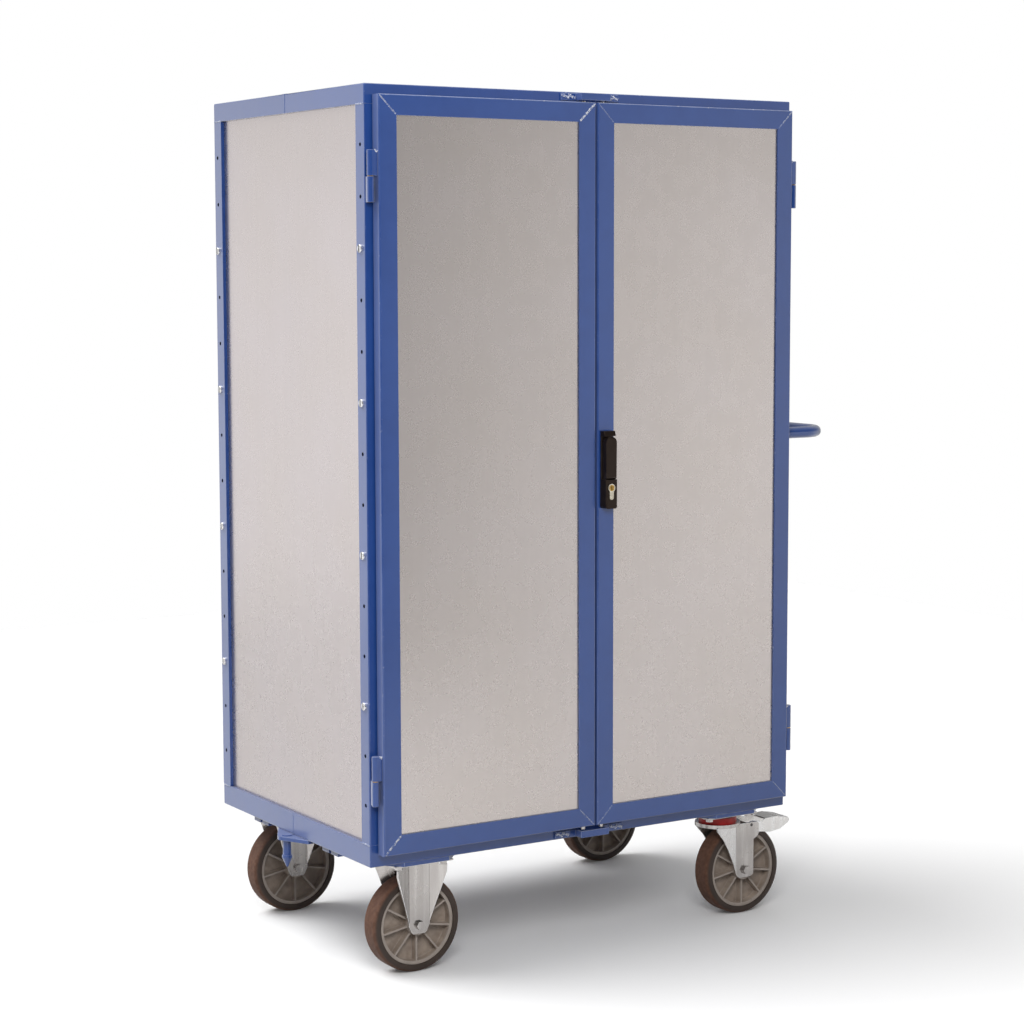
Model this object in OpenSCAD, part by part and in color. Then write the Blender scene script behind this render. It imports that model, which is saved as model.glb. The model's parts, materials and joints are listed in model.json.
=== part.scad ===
// Enclosed cupboard trolley: welded steel frame, sheet panels, four shelves, two hinged doors
// with a rod lock, two fixed castors at the tow end and two braked swivel castors at the
// push end. X runs to the right along the front, Y runs to the back, Z is up, floor at z = 0.
// Inside the modules X counts from the body's left end, Y from the body's front face and
// Z from the floor; place() moves the whole cart so that its origin is under its middle.

/* [Body] */
// Outside width of the body, left end to right end
body_w = 1040; // [900:10:1300]
// Outside depth of the body, front face to back face
body_d = 682; // [600:1:800]
// Outside height of the body without castors
body_h = 1540; // [1500:1:1800]
// Wall thickness of the frame angles and uprights
frame_t = 3; // [2:0.5:4]
// Height of the base rails
base_rail_h = 45; // [35:1:60]
// Height of the top rails
top_rail_h = 39; // [30:1:60]
// Width of the rails' horizontal legs and of the uprights' flanges
flange_w = 35; // [30:1:45]
// Depth of the folded lip that the sheet panels lie against
lip_d = 8; // [6:0.5:10]
// Thickness of the sheet panels
sheet_t = 1.5; // [1:0.5:3]
// Gap between neighbouring sheet panels and frame parts
sheet_gap = 2; // [1:0.5:4]
// Width of the raised weld bead at the middle of each end rail
bead_w = 5; // [3:0.5:8]
// Height of the weld bead above the rail
bead_h = 0.8; // [0.4:0.1:1.2]

/* [Hole rows] */
// Height of the lowest upright hole above the body's bottom edge
hole_z0 = 123.5; // [100:0.5:160]
// Pitch of the upright holes
hole_pitch = 100; // [100:1:105]
// Number of holes in each upright
hole_count = 14; // [12:1:14]
// Diameter of the upright holes
hole_d = 8; // [6:0.1:9]
// Distance of the hole rows from the front and back faces
hole_inset = 16.5; // [15:0.5:18]
// Number of holes from one shelf to the next
shelf_hole_count = 3; // [3:1:4]
// Number of holes below the lowest shelf's hole
low_hole_count = 2; // [1:1:2]
// Number of shelves
shelf_count = 4; // [1:1:4]

/* [Shelves] */
// Leg of the shelf support angles
support_leg = 25; // [20:1:30]
// Thickness of the shelf support angles
support_t = 3; // [2:0.5:4]
// Height of the supports' upright leg
support_h = 40; // [34:1:50]
// How far the screw sits below the shelf's underside
support_drop = 12; // [10:1:16]
// Turned-down edge of a shelf
shelf_edge = 25; // [15:1:35]
// Distance of a shelf's front edge from the body's front face
shelf_setback = 22; // [12:1:60]

/* [Doors] */
// Depth of a door, front flange to back edge
door_depth = 25; // [23:0.5:30]
// Gap between the doors' back edge and the body's front face
door_gap = 5; // [5:0.5:8]
// Width of the door frames' front flange
stile_w = 40; // [38:1:55]
// Wall thickness of the door frames
door_t = 4; // [3:0.5:5]
// Distance of a door's outer edge from the body's end
door_side = 15.5; // [13:0.5:20]
// Distance of the doors' top edge from the body's top
door_top = 21.5; // [21:0.5:30]
// Distance of the doors' bottom edge from the body's bottom
door_bottom = 26.5; // [25:0.5:35]
// Gap between the two doors
door_split = 5; // [4:0.5:8]

/* [Hinges] */
// Distance of the hinge pivots from the body's end
pivot_in = 4; // [3:0.5:5]
// Distance of the hinge pivots in front of the body's front face
pivot_out = 17; // [17:0.5:18]
// Outside diameter of the hinge knuckles
knuckle_d = 14; // [12:0.5:16]
// Length of one hinge, both halves with the washer
hinge_len = 100; // [80:1:120]
// Distance of the outer end of each hinge from the body's top or bottom
hinge_end = 128; // [100:1:200]
// Diameter of the hinge pins
hinge_pin_d = 8; // [6:0.5:9]
// Thickness of the hinge washers
washer_t = 1.5; // [1:0.1:2.5]
// Thickness of the webs that join knuckles to doors and frame
web_t = 6; // [4:0.5:8]

/* [Door lock] */
// Height of the turning spindle above the body's bottom edge
spindle_z = 828; // [700:1:900]
// Width of the lock housing
lock_w = 28; // [27:0.5:32]
// How far the housing reaches above the spindle
lock_up = 24; // [20:1:34]
// How far the housing reaches below the spindle
lock_down = 136; // [125:1:150]
// Thickness of the housing's back plate
lock_plate_t = 6; // [4:0.5:8]
// How far the housing stands out from the door
lock_out = 22; // [21:0.5:26]
// How far the housing's top edge slopes back from its front
lock_slope = 8; // [4:0.5:9]
// Radius of the housing's lower corners
lock_corner_r = 5; // [2:0.5:8]
// Width of the lever
lever_w = 26; // [24:0.5:26]
// Thickness of the lever
lever_t = 13; // [13:0.5:14]
// Length of the lever below the spindle
lever_len = 76; // [60:1:80]
// Distance of the key cylinder's middle below the spindle
cylinder_drop = 93; // [91:1:100]
// Diameter of the key cylinder's round part
cylinder_d = 17; // [17:0.5:18]
// Total height of the key cylinder's profile
cylinder_h = 33; // [30:0.5:34]
// Width of the key cylinder's lower part
cylinder_w = 10; // [9:0.5:11]
// Diameter of the turning plug
plug_d = 12.6; // [11:0.1:13]
// Diameter of the lock rods and of the left door's bolts
rod_d = 10; // [8:0.5:10]
// Travel of the lock rods
rod_travel = 17; // [14:0.5:18]
// Gap between a rod's end and its keeper when the lock is released
rod_tip_gap = 1.5; // [1:0.5:3]
// Length of the left door's bolts
bolt_len = 140; // [120:1:180]

/* [Keepers] */
// Height of the keeper straps
keeper_h = 14; // [12:0.5:18]
// Thickness of the keeper straps
keeper_t = 4; // [3:0.5:5]
// Inside width of the keeper loops
keeper_in_w = 62; // [60:1:70]
// Total length of the upper keeper strap
keeper_top_len = 140; // [120:1:180]
// Total length of the lower keeper strap
keeper_low_len = 170; // [120:1:200]
// How far the keeper loops stand out from the body
keeper_out = 27; // [25:0.5:30]
// Distance of the keepers from the body's top and bottom edges
keeper_edge = 3; // [1:0.5:6]

/* [Push handle] */
// Diameter of the handle tube
handle_d = 25; // [20:0.5:30]
// Wall thickness of the handle tube
handle_wall = 2; // [1.5:0.5:3]
// Distance of the handle's grip from the body's right end
handle_reach = 125; // [100:1:160]
// Height of the handle above the body's bottom edge
handle_z = 825; // [700:1:1000]
// Bend radius of the handle tube's middle line
handle_bend = 60; // [50:1:80]

/* [Tow coupling] */
// Thickness of the tow plate
tow_plate_t = 8; // [6:0.5:10]
// How far the tow pin's middle stands out from the left end
tow_pin_out = 14; // [12:0.5:20]
// Radius of the tow plate's nose
tow_nose_r = 20; // [18:0.5:24]
// Half width of the tow plate where it meets the body
tow_half_w = 70; // [50:1:80]
// Length of the tow plate under the body
tow_under = 30; // [20:1:34]
// Diameter of the tow pin's neck
tow_neck_d = 18; // [14:0.5:20]
// Diameter of the tow pin's collar
tow_collar_d = 22; // [21:0.5:26]
// Length of the tow pin below its plate
tow_pin_len = 60; // [50:1:70]

/* [Castors] */
// Outside diameter of the wheels
wheel_d = 200; // [190:1:204]
// Width of the tyres
tyre_w = 50; // [40:1:50]
// Radial thickness of the tyres
tyre_t = 15.5; // [12:0.5:20]
// Radius of the tyres' shoulders
shoulder_r = 10; // [4:0.5:14]
// Height from the top of the wheels to the top of the castors' plates
castor_rise = 34; // [34:1:40]
// Thickness of the castors' zinc-plated plates and forks
castor_t = 4; // [3:0.5:5]
// Length of the castors' top plates
plate_l = 135; // [130:1:140]
// Width of the castors' top plates
plate_w = 110; // [105:1:115]
// Hole spacing along the castors' top plates
plate_hole_l = 105; // [100:1:110]
// Hole spacing across the castors' top plates
plate_hole_w = 80; // [78:1:85]
// Thickness of the blue mounting plates under the body
mount_t = 9; // [6:0.5:12]
// Length of the mounting plates
mount_l = 174; // [160:1:180]
// Width of the mounting plates
mount_w = 130; // [120:1:134]
// Corner cut of the mounting plates
mount_cut = 35; // [10:1:36]
// Distance of the castors' middle from the body's front and back faces
castor_y = 67.4; // [67:0.1:90]
// Distance of the fixed castors' middle from the left end
fixed_x = 131; // [100:1:180]
// Distance of the swivel axes from the right end
swivel_x = 131; // [120:1:180]
// Trail of the swivel castors, swivel axis to axle
trail = 53; // [45:1:54]
// Number of ribs on each side of a hub
rib_count = 9; // [6:1:12]
// Diameter of the axle bolts
axle_d = 12; // [10:0.5:14]
// Radius of the ring around the swivel bearing
ring_r = 42; // [40:0.5:46]
// Radius of the swivel forks' crown
crown_r = 50; // [48:0.5:54]
// Number of balls in a swivel bearing
ball_count = 18; // [8:1:20]

/* [Fits] */
// Radial clearance of running fits
run_gap = 0.05; // [0.02:0.01:0.1]
// Gap between parts that move past each other
free_gap = 0.5; // [0.4:0.1:0.8]

/* [Hidden] */
$fn = 64;

paint_blue = [0.16, 0.22, 0.50];
zinc = [0.78, 0.78, 0.77];
galvanised = [0.70, 0.69, 0.67];

// How far the rods lie behind the middle of the doors' hollow
rod_offset = 1;

// Levels and edges that follow from the driving sizes
castor_h = wheel_d + castor_rise;
body_z = castor_h + mount_t;
body_top = body_z + body_h;
rear_castor_y = body_d - castor_y;
swivel_cx = body_w - swivel_x;
wheel_r = wheel_d / 2;
door_back = -door_gap;
door_front = door_back - door_depth;
door_z0 = body_z + door_bottom;
door_z1 = body_top - door_top;
door_w = (body_w - 2 * door_side - door_split) / 2;
door_h = door_z1 - door_z0;
right_door_x = door_side + door_w + door_split;
panel_back = door_front + door_t + sheet_t;
lock_x = right_door_x + stile_w / 2;
left_bolt_x = body_w - lock_x;
lock_z = body_z + spindle_z;
rod_y = (panel_back + door_back) / 2 + rod_offset;
keeper_top_z = body_top - keeper_edge - keeper_h;
keeper_low_z = body_z + keeper_edge;

// The cart's extents, for the origin under its middle
tow_reach = tow_pin_out + tow_nose_r;
handle_end = body_w + handle_reach + handle_d / 2;
lock_front = door_front - lock_out;
key_proud = 1;
origin_x = (handle_end - tow_reach) / 2;
origin_y = (body_d + lock_front - key_proud) / 2;

// A cuboid given by its lowest and highest corners
module block(lo, hi) {
    translate(lo) cube(hi - lo);
}

// An outline drawn in X and Z, given a thickness from y0 to y1
module wall_xz(y0, y1) {
    translate([0, y1, 0]) rotate([90, 0, 0]) linear_extrude(y1 - y0) children();
}

module place() {
    translate([-origin_x, -origin_y, 0]) children();
}

// Mirrored to the body's other end
module other_end() {
    translate([body_w, 0, 0]) mirror([1, 0, 0]) children();
}

// Mirrored to the body's back
module other_side() {
    translate([0, body_d, 0]) mirror([0, 1, 0]) children();
}

module both_ends() {
    children();
    other_end() children();
}

// ---------------------------------------------------------------- frame

// A rectangular tube of the body's outline, from z0 to z1, with its wall measured inwards
module outline_ring(wall, z0, z1) {
    difference() {
        block([0, 0, z0], [body_w, body_d, z1]);
        block([wall, wall, z0 - 1], [body_w - wall, body_d - wall, z1 + 1]);
    }
}

// The ring of four rails: horizontal legs at z = 0, upright legs, lips at the ends and the back,
// and the weld beads that join the two halves of each end rail
module rail_ring(height) {
    outline_ring(flange_w, 0, frame_t);
    outline_ring(frame_t, 0, height);
    difference() {
        outline_ring(lip_d, height - frame_t, height);
        block([lip_d, -1, height - frame_t - 1], [body_w - lip_d, lip_d + 1, height + 1]);
    }
    both_ends()
        block([-bead_h, body_d / 2 - bead_w / 2, 0], [0, body_d / 2 + bead_w / 2, height]);
}

module base_frame() {
    color(paint_blue) place() translate([0, 0, body_z]) rail_ring(base_rail_h);
}

module top_frame() {
    color(paint_blue) place()
        translate([0, 0, body_top]) mirror([0, 0, 1]) rail_ring(top_rail_h);
}

// Height above the floor of one hole of a row
function hole_z(k) = body_z + hole_z0 + k * hole_pitch;

// Cutters for the hole row of the front left upright, from x0 to x1
module hole_row(x0, x1, d) {
    for (k = [0:hole_count - 1])
        translate([x0, hole_inset, hole_z(k)]) rotate([0, 90, 0]) cylinder(d = d, h = x1 - x0);
}

// The upright at the front left corner; lips on the faces where a panel lies behind it
module upright(front_lip) {
    z0 = body_z + base_rail_h;
    z1 = body_top - top_rail_h;
    difference() {
        union() {
            block([0, 0, z0], [flange_w, frame_t, z1]);
            block([0, 0, z0], [frame_t, flange_w, z1]);
            block([0, flange_w - frame_t, z0], [lip_d, flange_w, z1]);
            if (front_lip) block([flange_w - frame_t, 0, z0], [flange_w, lip_d, z1]);
        }
        hole_row(-1, frame_t + 1, hole_d);
    }
}

module corner_uprights() {
    color(paint_blue) place() both_ends() {
        upright(false);
        other_side() upright(true);
    }
}

// Flat bars lengthways under the base frame, in two pairs
bar_w = 30;
bar_slot = 9;
bar_end = 4;
bar_y = castor_y + mount_w / 2 + 14;
module underframe_bars() {
    color(paint_blue) place() {
        for (y = [bar_y, bar_y + bar_w + bar_slot]) {
            block([bar_end, y, castor_h], [body_w - bar_end, y + bar_w, body_z]);
            other_side()
                block([bar_end, y, castor_h], [body_w - bar_end, y + bar_w, body_z]);
        }
    }
}

// ---------------------------------------------------------------- sheet panels

module floor_panel() {
    m = lip_d + sheet_t + sheet_gap;
    color(galvanised) place()
        block([m, frame_t + sheet_gap, body_z + frame_t],
              [body_w - m, body_d - m, body_z + frame_t + sheet_t]);
}

module roof_panel() {
    m = lip_d + sheet_t + sheet_gap;
    color(galvanised) place()
        block([m, frame_t + sheet_gap, body_top - frame_t - sheet_t],
              [body_w - m, body_d - m, body_top - frame_t]);
}

// The sheet behind the lips of the left end
module end_panel() {
    m = frame_t + sheet_gap;
    difference() {
        block([lip_d, m, body_z + m],
              [lip_d + sheet_t, body_d - lip_d - sheet_t - sheet_gap, body_top - m]);
        hole_row(lip_d - 1, lip_d + sheet_t + 1, hole_d);
        other_side() hole_row(lip_d - 1, lip_d + sheet_t + 1, hole_d);
    }
}

module left_end_panel() {
    color(galvanised) place() end_panel();
}

module right_end_panel() {
    color(galvanised) place() other_end() end_panel();
}

module back_panel() {
    side = lip_d + sheet_gap;
    m = frame_t + sheet_gap;
    color(galvanised) place()
        block([side, body_d - lip_d - sheet_t, body_z + m],
              [body_w - side, body_d - lip_d, body_top - m]);
}

// ---------------------------------------------------------------- shelves

function shelf_hole(i) = low_hole_count + i * shelf_hole_count;
function shelf_z(i) = hole_z(shelf_hole(i)) + support_drop;

// Screws: shank through flange, panel and support, slotted round head outside, nut inside
screw_head_d = 16;
screw_head_h = 4.8;
nut_d = 15;
nut_h = 6.5;
thread_past_nut = 2;
slot_w = 2;
slot_depth = 2;
inner_x = lip_d + sheet_t;

module shelf_supports() {
    color(galvanised) place() both_ends()
        for (i = [0:shelf_count - 1]) {
            z = shelf_z(i);
            difference() {
                union() {
                    block([inner_x, sheet_gap + frame_t, z - support_h],
                          [inner_x + support_t, body_d - inner_x - sheet_gap, z]);
                    block([inner_x, sheet_gap + frame_t, z - support_t],
                          [inner_x + support_leg, body_d - inner_x - sheet_gap, z]);
                }
                for (y = [hole_inset, body_d - hole_inset])
                    translate([inner_x - 1, y, z - support_drop])
                        rotate([0, 90, 0]) cylinder(d = hole_d, h = support_t + 2);
            }
        }
}

module shelf_screws() {
    color(zinc) place() both_ends()
        for (i = [0:shelf_count - 1], y = [hole_inset, body_d - hole_inset])
            translate([0, y, hole_z(shelf_hole(i))]) rotate([0, 90, 0]) {
                difference() {
                    translate([0, 0, -screw_head_h]) cylinder(d = screw_head_d, h = screw_head_h);
                    block([-screw_head_d, -slot_w / 2, -screw_head_h - 1],
                          [screw_head_d, slot_w / 2, slot_depth - screw_head_h]);
                }
                cylinder(d = hole_d - 2 * run_gap,
                         h = inner_x + support_t + nut_h + thread_past_nut);
                translate([0, 0, inner_x + support_t])
                    cylinder(d = nut_d, h = nut_h, $fn = 6);
            }
}

module shelves() {
    m = inner_x + sheet_gap / 2;
    edge_m = inner_x + support_leg + sheet_gap;
    y1 = body_d - inner_x - sheet_gap;
    color(galvanised) place()
        for (i = [0:shelf_count - 1]) {
            z = shelf_z(i);
            block([m, shelf_setback, z], [body_w - m, y1, z + sheet_t]);
            block([edge_m, shelf_setback, z - shelf_edge],
                  [body_w - edge_m, shelf_setback + sheet_t, z + sheet_t]);
            block([edge_m, y1 - sheet_t, z - shelf_edge], [body_w - edge_m, y1, z + sheet_t]);
        }
}

// ---------------------------------------------------------------- keepers, handle, tow coupling

// A strap of a given length with a loop at its middle, welded to the body's front face
module keeper(length) {
    loop = keeper_in_w / 2 + keeper_t;
    difference() {
        union() {
            block([-length / 2, -keeper_t, 0], [length / 2, 0, keeper_h]);
            block([-loop, -keeper_out, 0], [loop, 0, keeper_h]);
        }
        block([-keeper_in_w / 2, -keeper_out + keeper_t, -1], [keeper_in_w / 2, 1, keeper_h + 1]);
    }
}

module rod_keepers() {
    color(paint_blue) place() {
        translate([body_w / 2, 0, keeper_top_z]) keeper(keeper_top_len);
        translate([body_w / 2, 0, keeper_low_z]) keeper(keeper_low_len);
    }
}

// Half of the handle: one leg, one bend and half of the grip
module half_handle(d) {
    leg = handle_reach - handle_bend;
    rotate([0, 90, 0]) cylinder(d = d, h = leg);
    translate([leg, handle_bend, 0]) rotate([0, 0, -90])
        rotate_extrude(angle = 90) translate([handle_bend, 0]) circle(d = d);
    translate([handle_reach, handle_bend, 0]) rotate([-90, 0, 0])
        cylinder(d = d, h = body_d / 2 - flange_w / 2 - handle_bend);
}

module handle_solid(d) {
    translate([body_w, flange_w / 2, body_z + handle_z]) half_handle(d);
    other_side() translate([body_w, flange_w / 2, body_z + handle_z]) half_handle(d);
}

module push_handle() {
    color(paint_blue) place() difference() {
        handle_solid(handle_d);
        handle_solid(handle_d - 2 * handle_wall);
    }
}

// The tow plate's outline: a round nose whose sides run tangent to the body's edge
module tow_outline() {
    reach = sqrt(pow(tow_pin_out, 2) + pow(tow_half_w, 2));
    turn = acos(tow_nose_r / reach) - atan(tow_pin_out / tow_half_w);
    tx = -tow_pin_out - tow_nose_r * sin(turn);
    ty = tow_nose_r * cos(turn);
    translate([-tow_pin_out, 0]) circle(r = tow_nose_r);
    polygon([[tx, -ty], [0, -tow_half_w], [tow_under, -tow_half_w],
             [tow_under, tow_half_w], [0, tow_half_w], [tx, ty]]);
}

module tow_plate() {
    color(paint_blue) place()
        translate([0, body_d / 2, body_z - tow_plate_t]) linear_extrude(tow_plate_t)
            difference() {
                tow_outline();
                translate([-tow_pin_out, 0]) circle(d = tow_neck_d + 2 * run_gap);
            }
}

// The pin through the tow plate: head, neck, collar and a blunt cone below it
tow_head_d = 24;
tow_head_h = 1.5;
tow_tip_d = 4;
tow_collar_h = 6;
module tow_pin() {
    plate_z = body_z - tow_plate_t;
    tip_z = plate_z - tow_pin_len;
    cone_top = plate_z - tow_pin_len * 2 / 3;
    color(paint_blue) place() translate([-tow_pin_out, body_d / 2, 0]) {
        translate([0, 0, tip_z]) cylinder(d1 = tow_tip_d, d2 = tow_collar_d, h = cone_top - tip_z);
        translate([0, 0, cone_top]) cylinder(d = tow_collar_d, h = tow_collar_h);
        translate([0, 0, cone_top]) cylinder(d = tow_neck_d, h = body_z - cone_top);
        translate([0, 0, body_z]) cylinder(d = tow_head_d, h = tow_head_h);
    }
}

// ---------------------------------------------------------------- hinges

end_play = 0.1;
split_h = (hinge_len - washer_t - end_play) / 2;
hinge_z = [body_z + hinge_end, body_top - hinge_end - hinge_len];
pin_seat = 12;
pin_end_gap = 2;

// The lower knuckle on the body's front left corner
module hinge_socket(z) {
    difference() {
        union() {
            translate([pivot_in, -pivot_out, z]) cylinder(d = knuckle_d, h = split_h);
            translate([pivot_in, -pivot_out, z]) linear_extrude(split_h)
                polygon([[-knuckle_d / 2, 0], [-web_t / 4, pivot_out], [web_t * 3 / 4, pivot_out],
                         [web_t / 2, 0]]);
        }
        translate([pivot_in, -pivot_out, z + pin_seat])
            cylinder(d = hinge_pin_d + 2 * run_gap, h = split_h);
    }
}

// The upper knuckle on the left door's edge
module hinge_leaf(z) {
    z0 = z + split_h + washer_t + end_play;
    difference() {
        union() {
            translate([pivot_in, -pivot_out, z0]) cylinder(d = knuckle_d, h = split_h);
            block([pivot_in, -pivot_out - knuckle_d / 2, z0],
                  [door_side, -pivot_out - knuckle_d / 2 + web_t, z0 + split_h]);
        }
        translate([pivot_in, -pivot_out, z0 - 1])
            cylinder(d = hinge_pin_d + 2 * run_gap, h = split_h + 1 - pin_seat);
    }
}

module hinge_sockets() {
    color(paint_blue) place() both_ends() for (z = hinge_z) hinge_socket(z);
}

module hinge_pins() {
    color(zinc) place() both_ends() for (z = hinge_z)
        translate([pivot_in, -pivot_out, z + pin_seat])
            cylinder(d = hinge_pin_d, h = hinge_len - 2 * pin_seat - pin_end_gap);
}

module hinge_washers() {
    color([0.75, 0.62, 0.30]) place() both_ends() for (z = hinge_z)
        translate([pivot_in, -pivot_out, z + split_h]) difference() {
            cylinder(d = knuckle_d - 2, h = washer_t);
            translate([0, 0, -1]) cylinder(d = hinge_pin_d + 2 * run_gap, h = washer_t + 2);
        }
}

module left_hinge_leaves() {
    color(paint_blue) place() for (z = hinge_z) hinge_leaf(z);
}

module right_hinge_leaves() {
    color(paint_blue) place() other_end() for (z = hinge_z) hinge_leaf(z);
}

// ---------------------------------------------------------------- doors

// A ring of a door's outline from y0 to y1, with its wall measured inwards
module door_ring(wall, y0, y1) {
    difference() {
        block([0, y0, 0], [door_w, y1, door_h]);
        block([wall, y0 - 1, wall], [door_w - wall, y1 + 1, door_h - wall]);
    }
}

// A door frame of angle section with its lower left corner at the origin
module door_frame() {
    door_ring(stile_w, door_front, door_front + door_t);
    door_ring(door_t, door_front, door_back);
}

// The sheet behind a door's front flange
module door_sheet() {
    m = door_t + sheet_gap;
    block([m, door_front + door_t, m], [door_w - m, panel_back, door_h - m]);
}

// Cutters for the rods through the top and bottom of a door
module rod_cuts(x) {
    for (z = [door_z0 - 1, door_z1 - door_t - 1])
        translate([x, rod_y, z]) cylinder(d = rod_d + 2 * free_gap, h = door_t + 2);
}

module left_door_frame() {
    color(paint_blue) place() difference() {
        translate([door_side, 0, door_z0]) door_frame();
        rod_cuts(left_bolt_x);
    }
}

module left_door_panel() {
    color(galvanised) place() translate([door_side, 0, door_z0]) door_sheet();
}

module right_door_frame() {
    color(paint_blue) place() difference() {
        translate([right_door_x, 0, door_z0]) door_frame();
        rod_cuts(lock_x);
        lock_cuts();
    }
}

module right_door_panel() {
    color(galvanised) place() difference() {
        translate([right_door_x, 0, door_z0]) door_sheet();
        lock_cuts();
    }
}

// ---------------------------------------------------------------- rods, bolts and guides

guide_w = 18;
guide_h = 14;
guide_wall = 2.5;
guide_back = rod_y + rod_d / 2 + guide_wall;

// A guide block for a rod at x, seated on the back of a door's sheet
module rod_guide(x, z) {
    difference() {
        block([x - guide_w / 2, panel_back, z - guide_h / 2],
              [x + guide_w / 2, guide_back, z + guide_h / 2]);
        translate([x, rod_y, z - guide_h])
            cylinder(d = rod_d + 2 * run_gap, h = 2 * guide_h);
    }
}

// Distances of the guides from the doors' ends
guide_end = 45;
bolt_guide_end = bolt_len - 25;
bolt_guides = [door_z1 - guide_end, door_z1 - bolt_guide_end,
               door_z0 + guide_end, door_z0 + bolt_guide_end];

module left_bolt_guides() {
    color(zinc) place() for (z = bolt_guides) rod_guide(left_bolt_x, z);
}

rod_guide_z = [door_z1 - guide_end, (lock_z + door_z1) / 2,
               (lock_z + door_z0) / 2, door_z0 + guide_end];

module rod_guides() {
    color(zinc) place() for (z = rod_guide_z) rod_guide(lock_x, z);
}

// Rod ends when released: just clear of the keepers
rod_top = keeper_top_z - rod_tip_gap;
rod_low = keeper_low_z + keeper_h + rod_tip_gap;
knob_d = 7;
knob_len = 18;
// The knob's distance from the guide that it stops against when the bolt is home
knob_stop = rod_travel + knob_d / 2 + 1;

// A bolt of the left door from z upwards, with its finger knob at height knob_z
module door_bolt(z, knob_z) {
    translate([left_bolt_x, rod_y, z]) cylinder(d = rod_d, h = bolt_len);
    translate([left_bolt_x, rod_y, knob_z]) rotate([0, -90, 0]) cylinder(d = knob_d, h = knob_len);
}

module left_upper_bolt() {
    guide = door_z1 - guide_end - guide_h / 2;
    color(zinc) place() door_bolt(rod_top - bolt_len, guide - knob_stop);
}

module left_lower_bolt() {
    guide = door_z0 + guide_end + guide_h / 2;
    color(zinc) place() door_bolt(rod_low, guide + knob_stop);
}

// The rods of the right door run from the lock case to the keepers
rod_start = 14;

module upper_rod() {
    color(zinc) place() translate([lock_x, rod_y, lock_z + rod_start])
        cylinder(d = rod_d, h = rod_top - lock_z - rod_start);
}

module lower_rod() {
    color(zinc) place() translate([lock_x, rod_y, rod_low])
        cylinder(d = rod_d, h = lock_z - rod_start - rod_low);
}

// ---------------------------------------------------------------- lock

case_h = 96;
case_wall = 1.5;
case_w = 2 * (stile_w / 2 - door_t - free_gap);
shaft_d = 10;
flange_d = 20;
flange_t = 1.4;
swing_r = lever_t / 2;
swing_y = lock_front + swing_r;
swing_z = lock_z + lever_w / 2 - swing_r;
tongue_w = 10;
tongue_r = swing_r - 2.5;
lever_pin_d = 4;
cylinder_z = lock_z - cylinder_drop;
cylinder_back = rod_y - rod_d / 2 - free_gap;

// The key cylinder's outline: round above, narrow below
module cylinder_outline(gap) {
    circle(d = cylinder_d + 2 * gap);
    low = cylinder_h - cylinder_d / 2 - cylinder_w / 2;
    translate([0, -low]) circle(d = cylinder_w + 2 * gap);
    translate([-cylinder_w / 2 - gap, -low]) square([cylinder_w + 2 * gap, low]);
}

// Holes for the spindle and the key cylinder through the door's stile and sheet
module lock_cuts() {
    translate([lock_x, 0, lock_z]) wall_xz(door_front - 1, panel_back + 1)
        circle(d = shaft_d + 2 * free_gap);
    translate([lock_x, 0, cylinder_z]) wall_xz(door_front - 1, panel_back + 1)
        cylinder_outline(free_gap);
}

// The housing's outline from the front, about the spindle
module housing_outline() {
    r = lock_corner_r;
    translate([-lock_w / 2, r - lock_down]) square([lock_w, lock_down + lock_up - r]);
    translate([r - lock_w / 2, -lock_down]) square([lock_w - 2 * r, 2 * r]);
    for (s = [-1, 1]) translate([s * (lock_w / 2 - r), r - lock_down]) circle(r = r);
}

// The housing: a back plate, a top block above the lever and a block for the key cylinder
module lock_housing() {
    slope_h = lock_up - 2;
    color([0.07, 0.07, 0.07]) place() difference() {
        translate([lock_x, 0, lock_z]) wall_xz(lock_front, door_front) housing_outline();
        // The slope of the top block
        translate([lock_x - lock_w, lock_front, lock_z + lock_up - slope_h])
            rotate([90, 0, 90]) linear_extrude(2 * lock_w)
                polygon([[-1, 0], [0, 0], [lock_slope, slope_h], [lock_slope, slope_h + 1],
                         [-1, slope_h + 1]]);
        // Room for the lever: flat above, round about the spindle below
        translate([lock_x, 0, lock_z]) wall_xz(lock_front - 1, door_front - lock_plate_t) {
            translate([-lock_w, -1]) square([2 * lock_w, 1 + lever_w / 2 + free_gap]);
            intersection() {
                circle(r = lever_len + free_gap);
                translate([-lock_w, -lock_down]) square([2 * lock_w, lock_down]);
            }
        }
        translate([lock_x, 0, lock_z]) wall_xz(lock_front, door_front + 1)
            circle(d = shaft_d + 2 * run_gap);
        translate([lock_x, 0, cylinder_z]) wall_xz(lock_front - 1, door_front + 1)
            cylinder_outline(run_gap);
    }
}

plug_len = 13;
keyway_w = 2.2;
keyway_h = 8;
keyway_len = 9;
keyway_low = -4.5;

module lock_cylinder() {
    front = lock_front - key_proud;
    color([0.80, 0.76, 0.66]) place() translate([lock_x, 0, cylinder_z]) difference() {
        wall_xz(front, cylinder_back) cylinder_outline(0);
        wall_xz(front - 1, front + plug_len) circle(d = plug_d + 2 * run_gap);
    }
}

// The plug that the key turns, with its keyway
module cylinder_plug() {
    front = lock_front - key_proud;
    color([0.78, 0.68, 0.45]) place() translate([lock_x, 0, cylinder_z]) difference() {
        wall_xz(front, front + plug_len - run_gap) circle(d = plug_d);
        block([-keyway_w / 2, front - 1, keyway_low],
              [keyway_w / 2, front + keyway_len, keyway_low + keyway_h]);
    }
}

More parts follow.
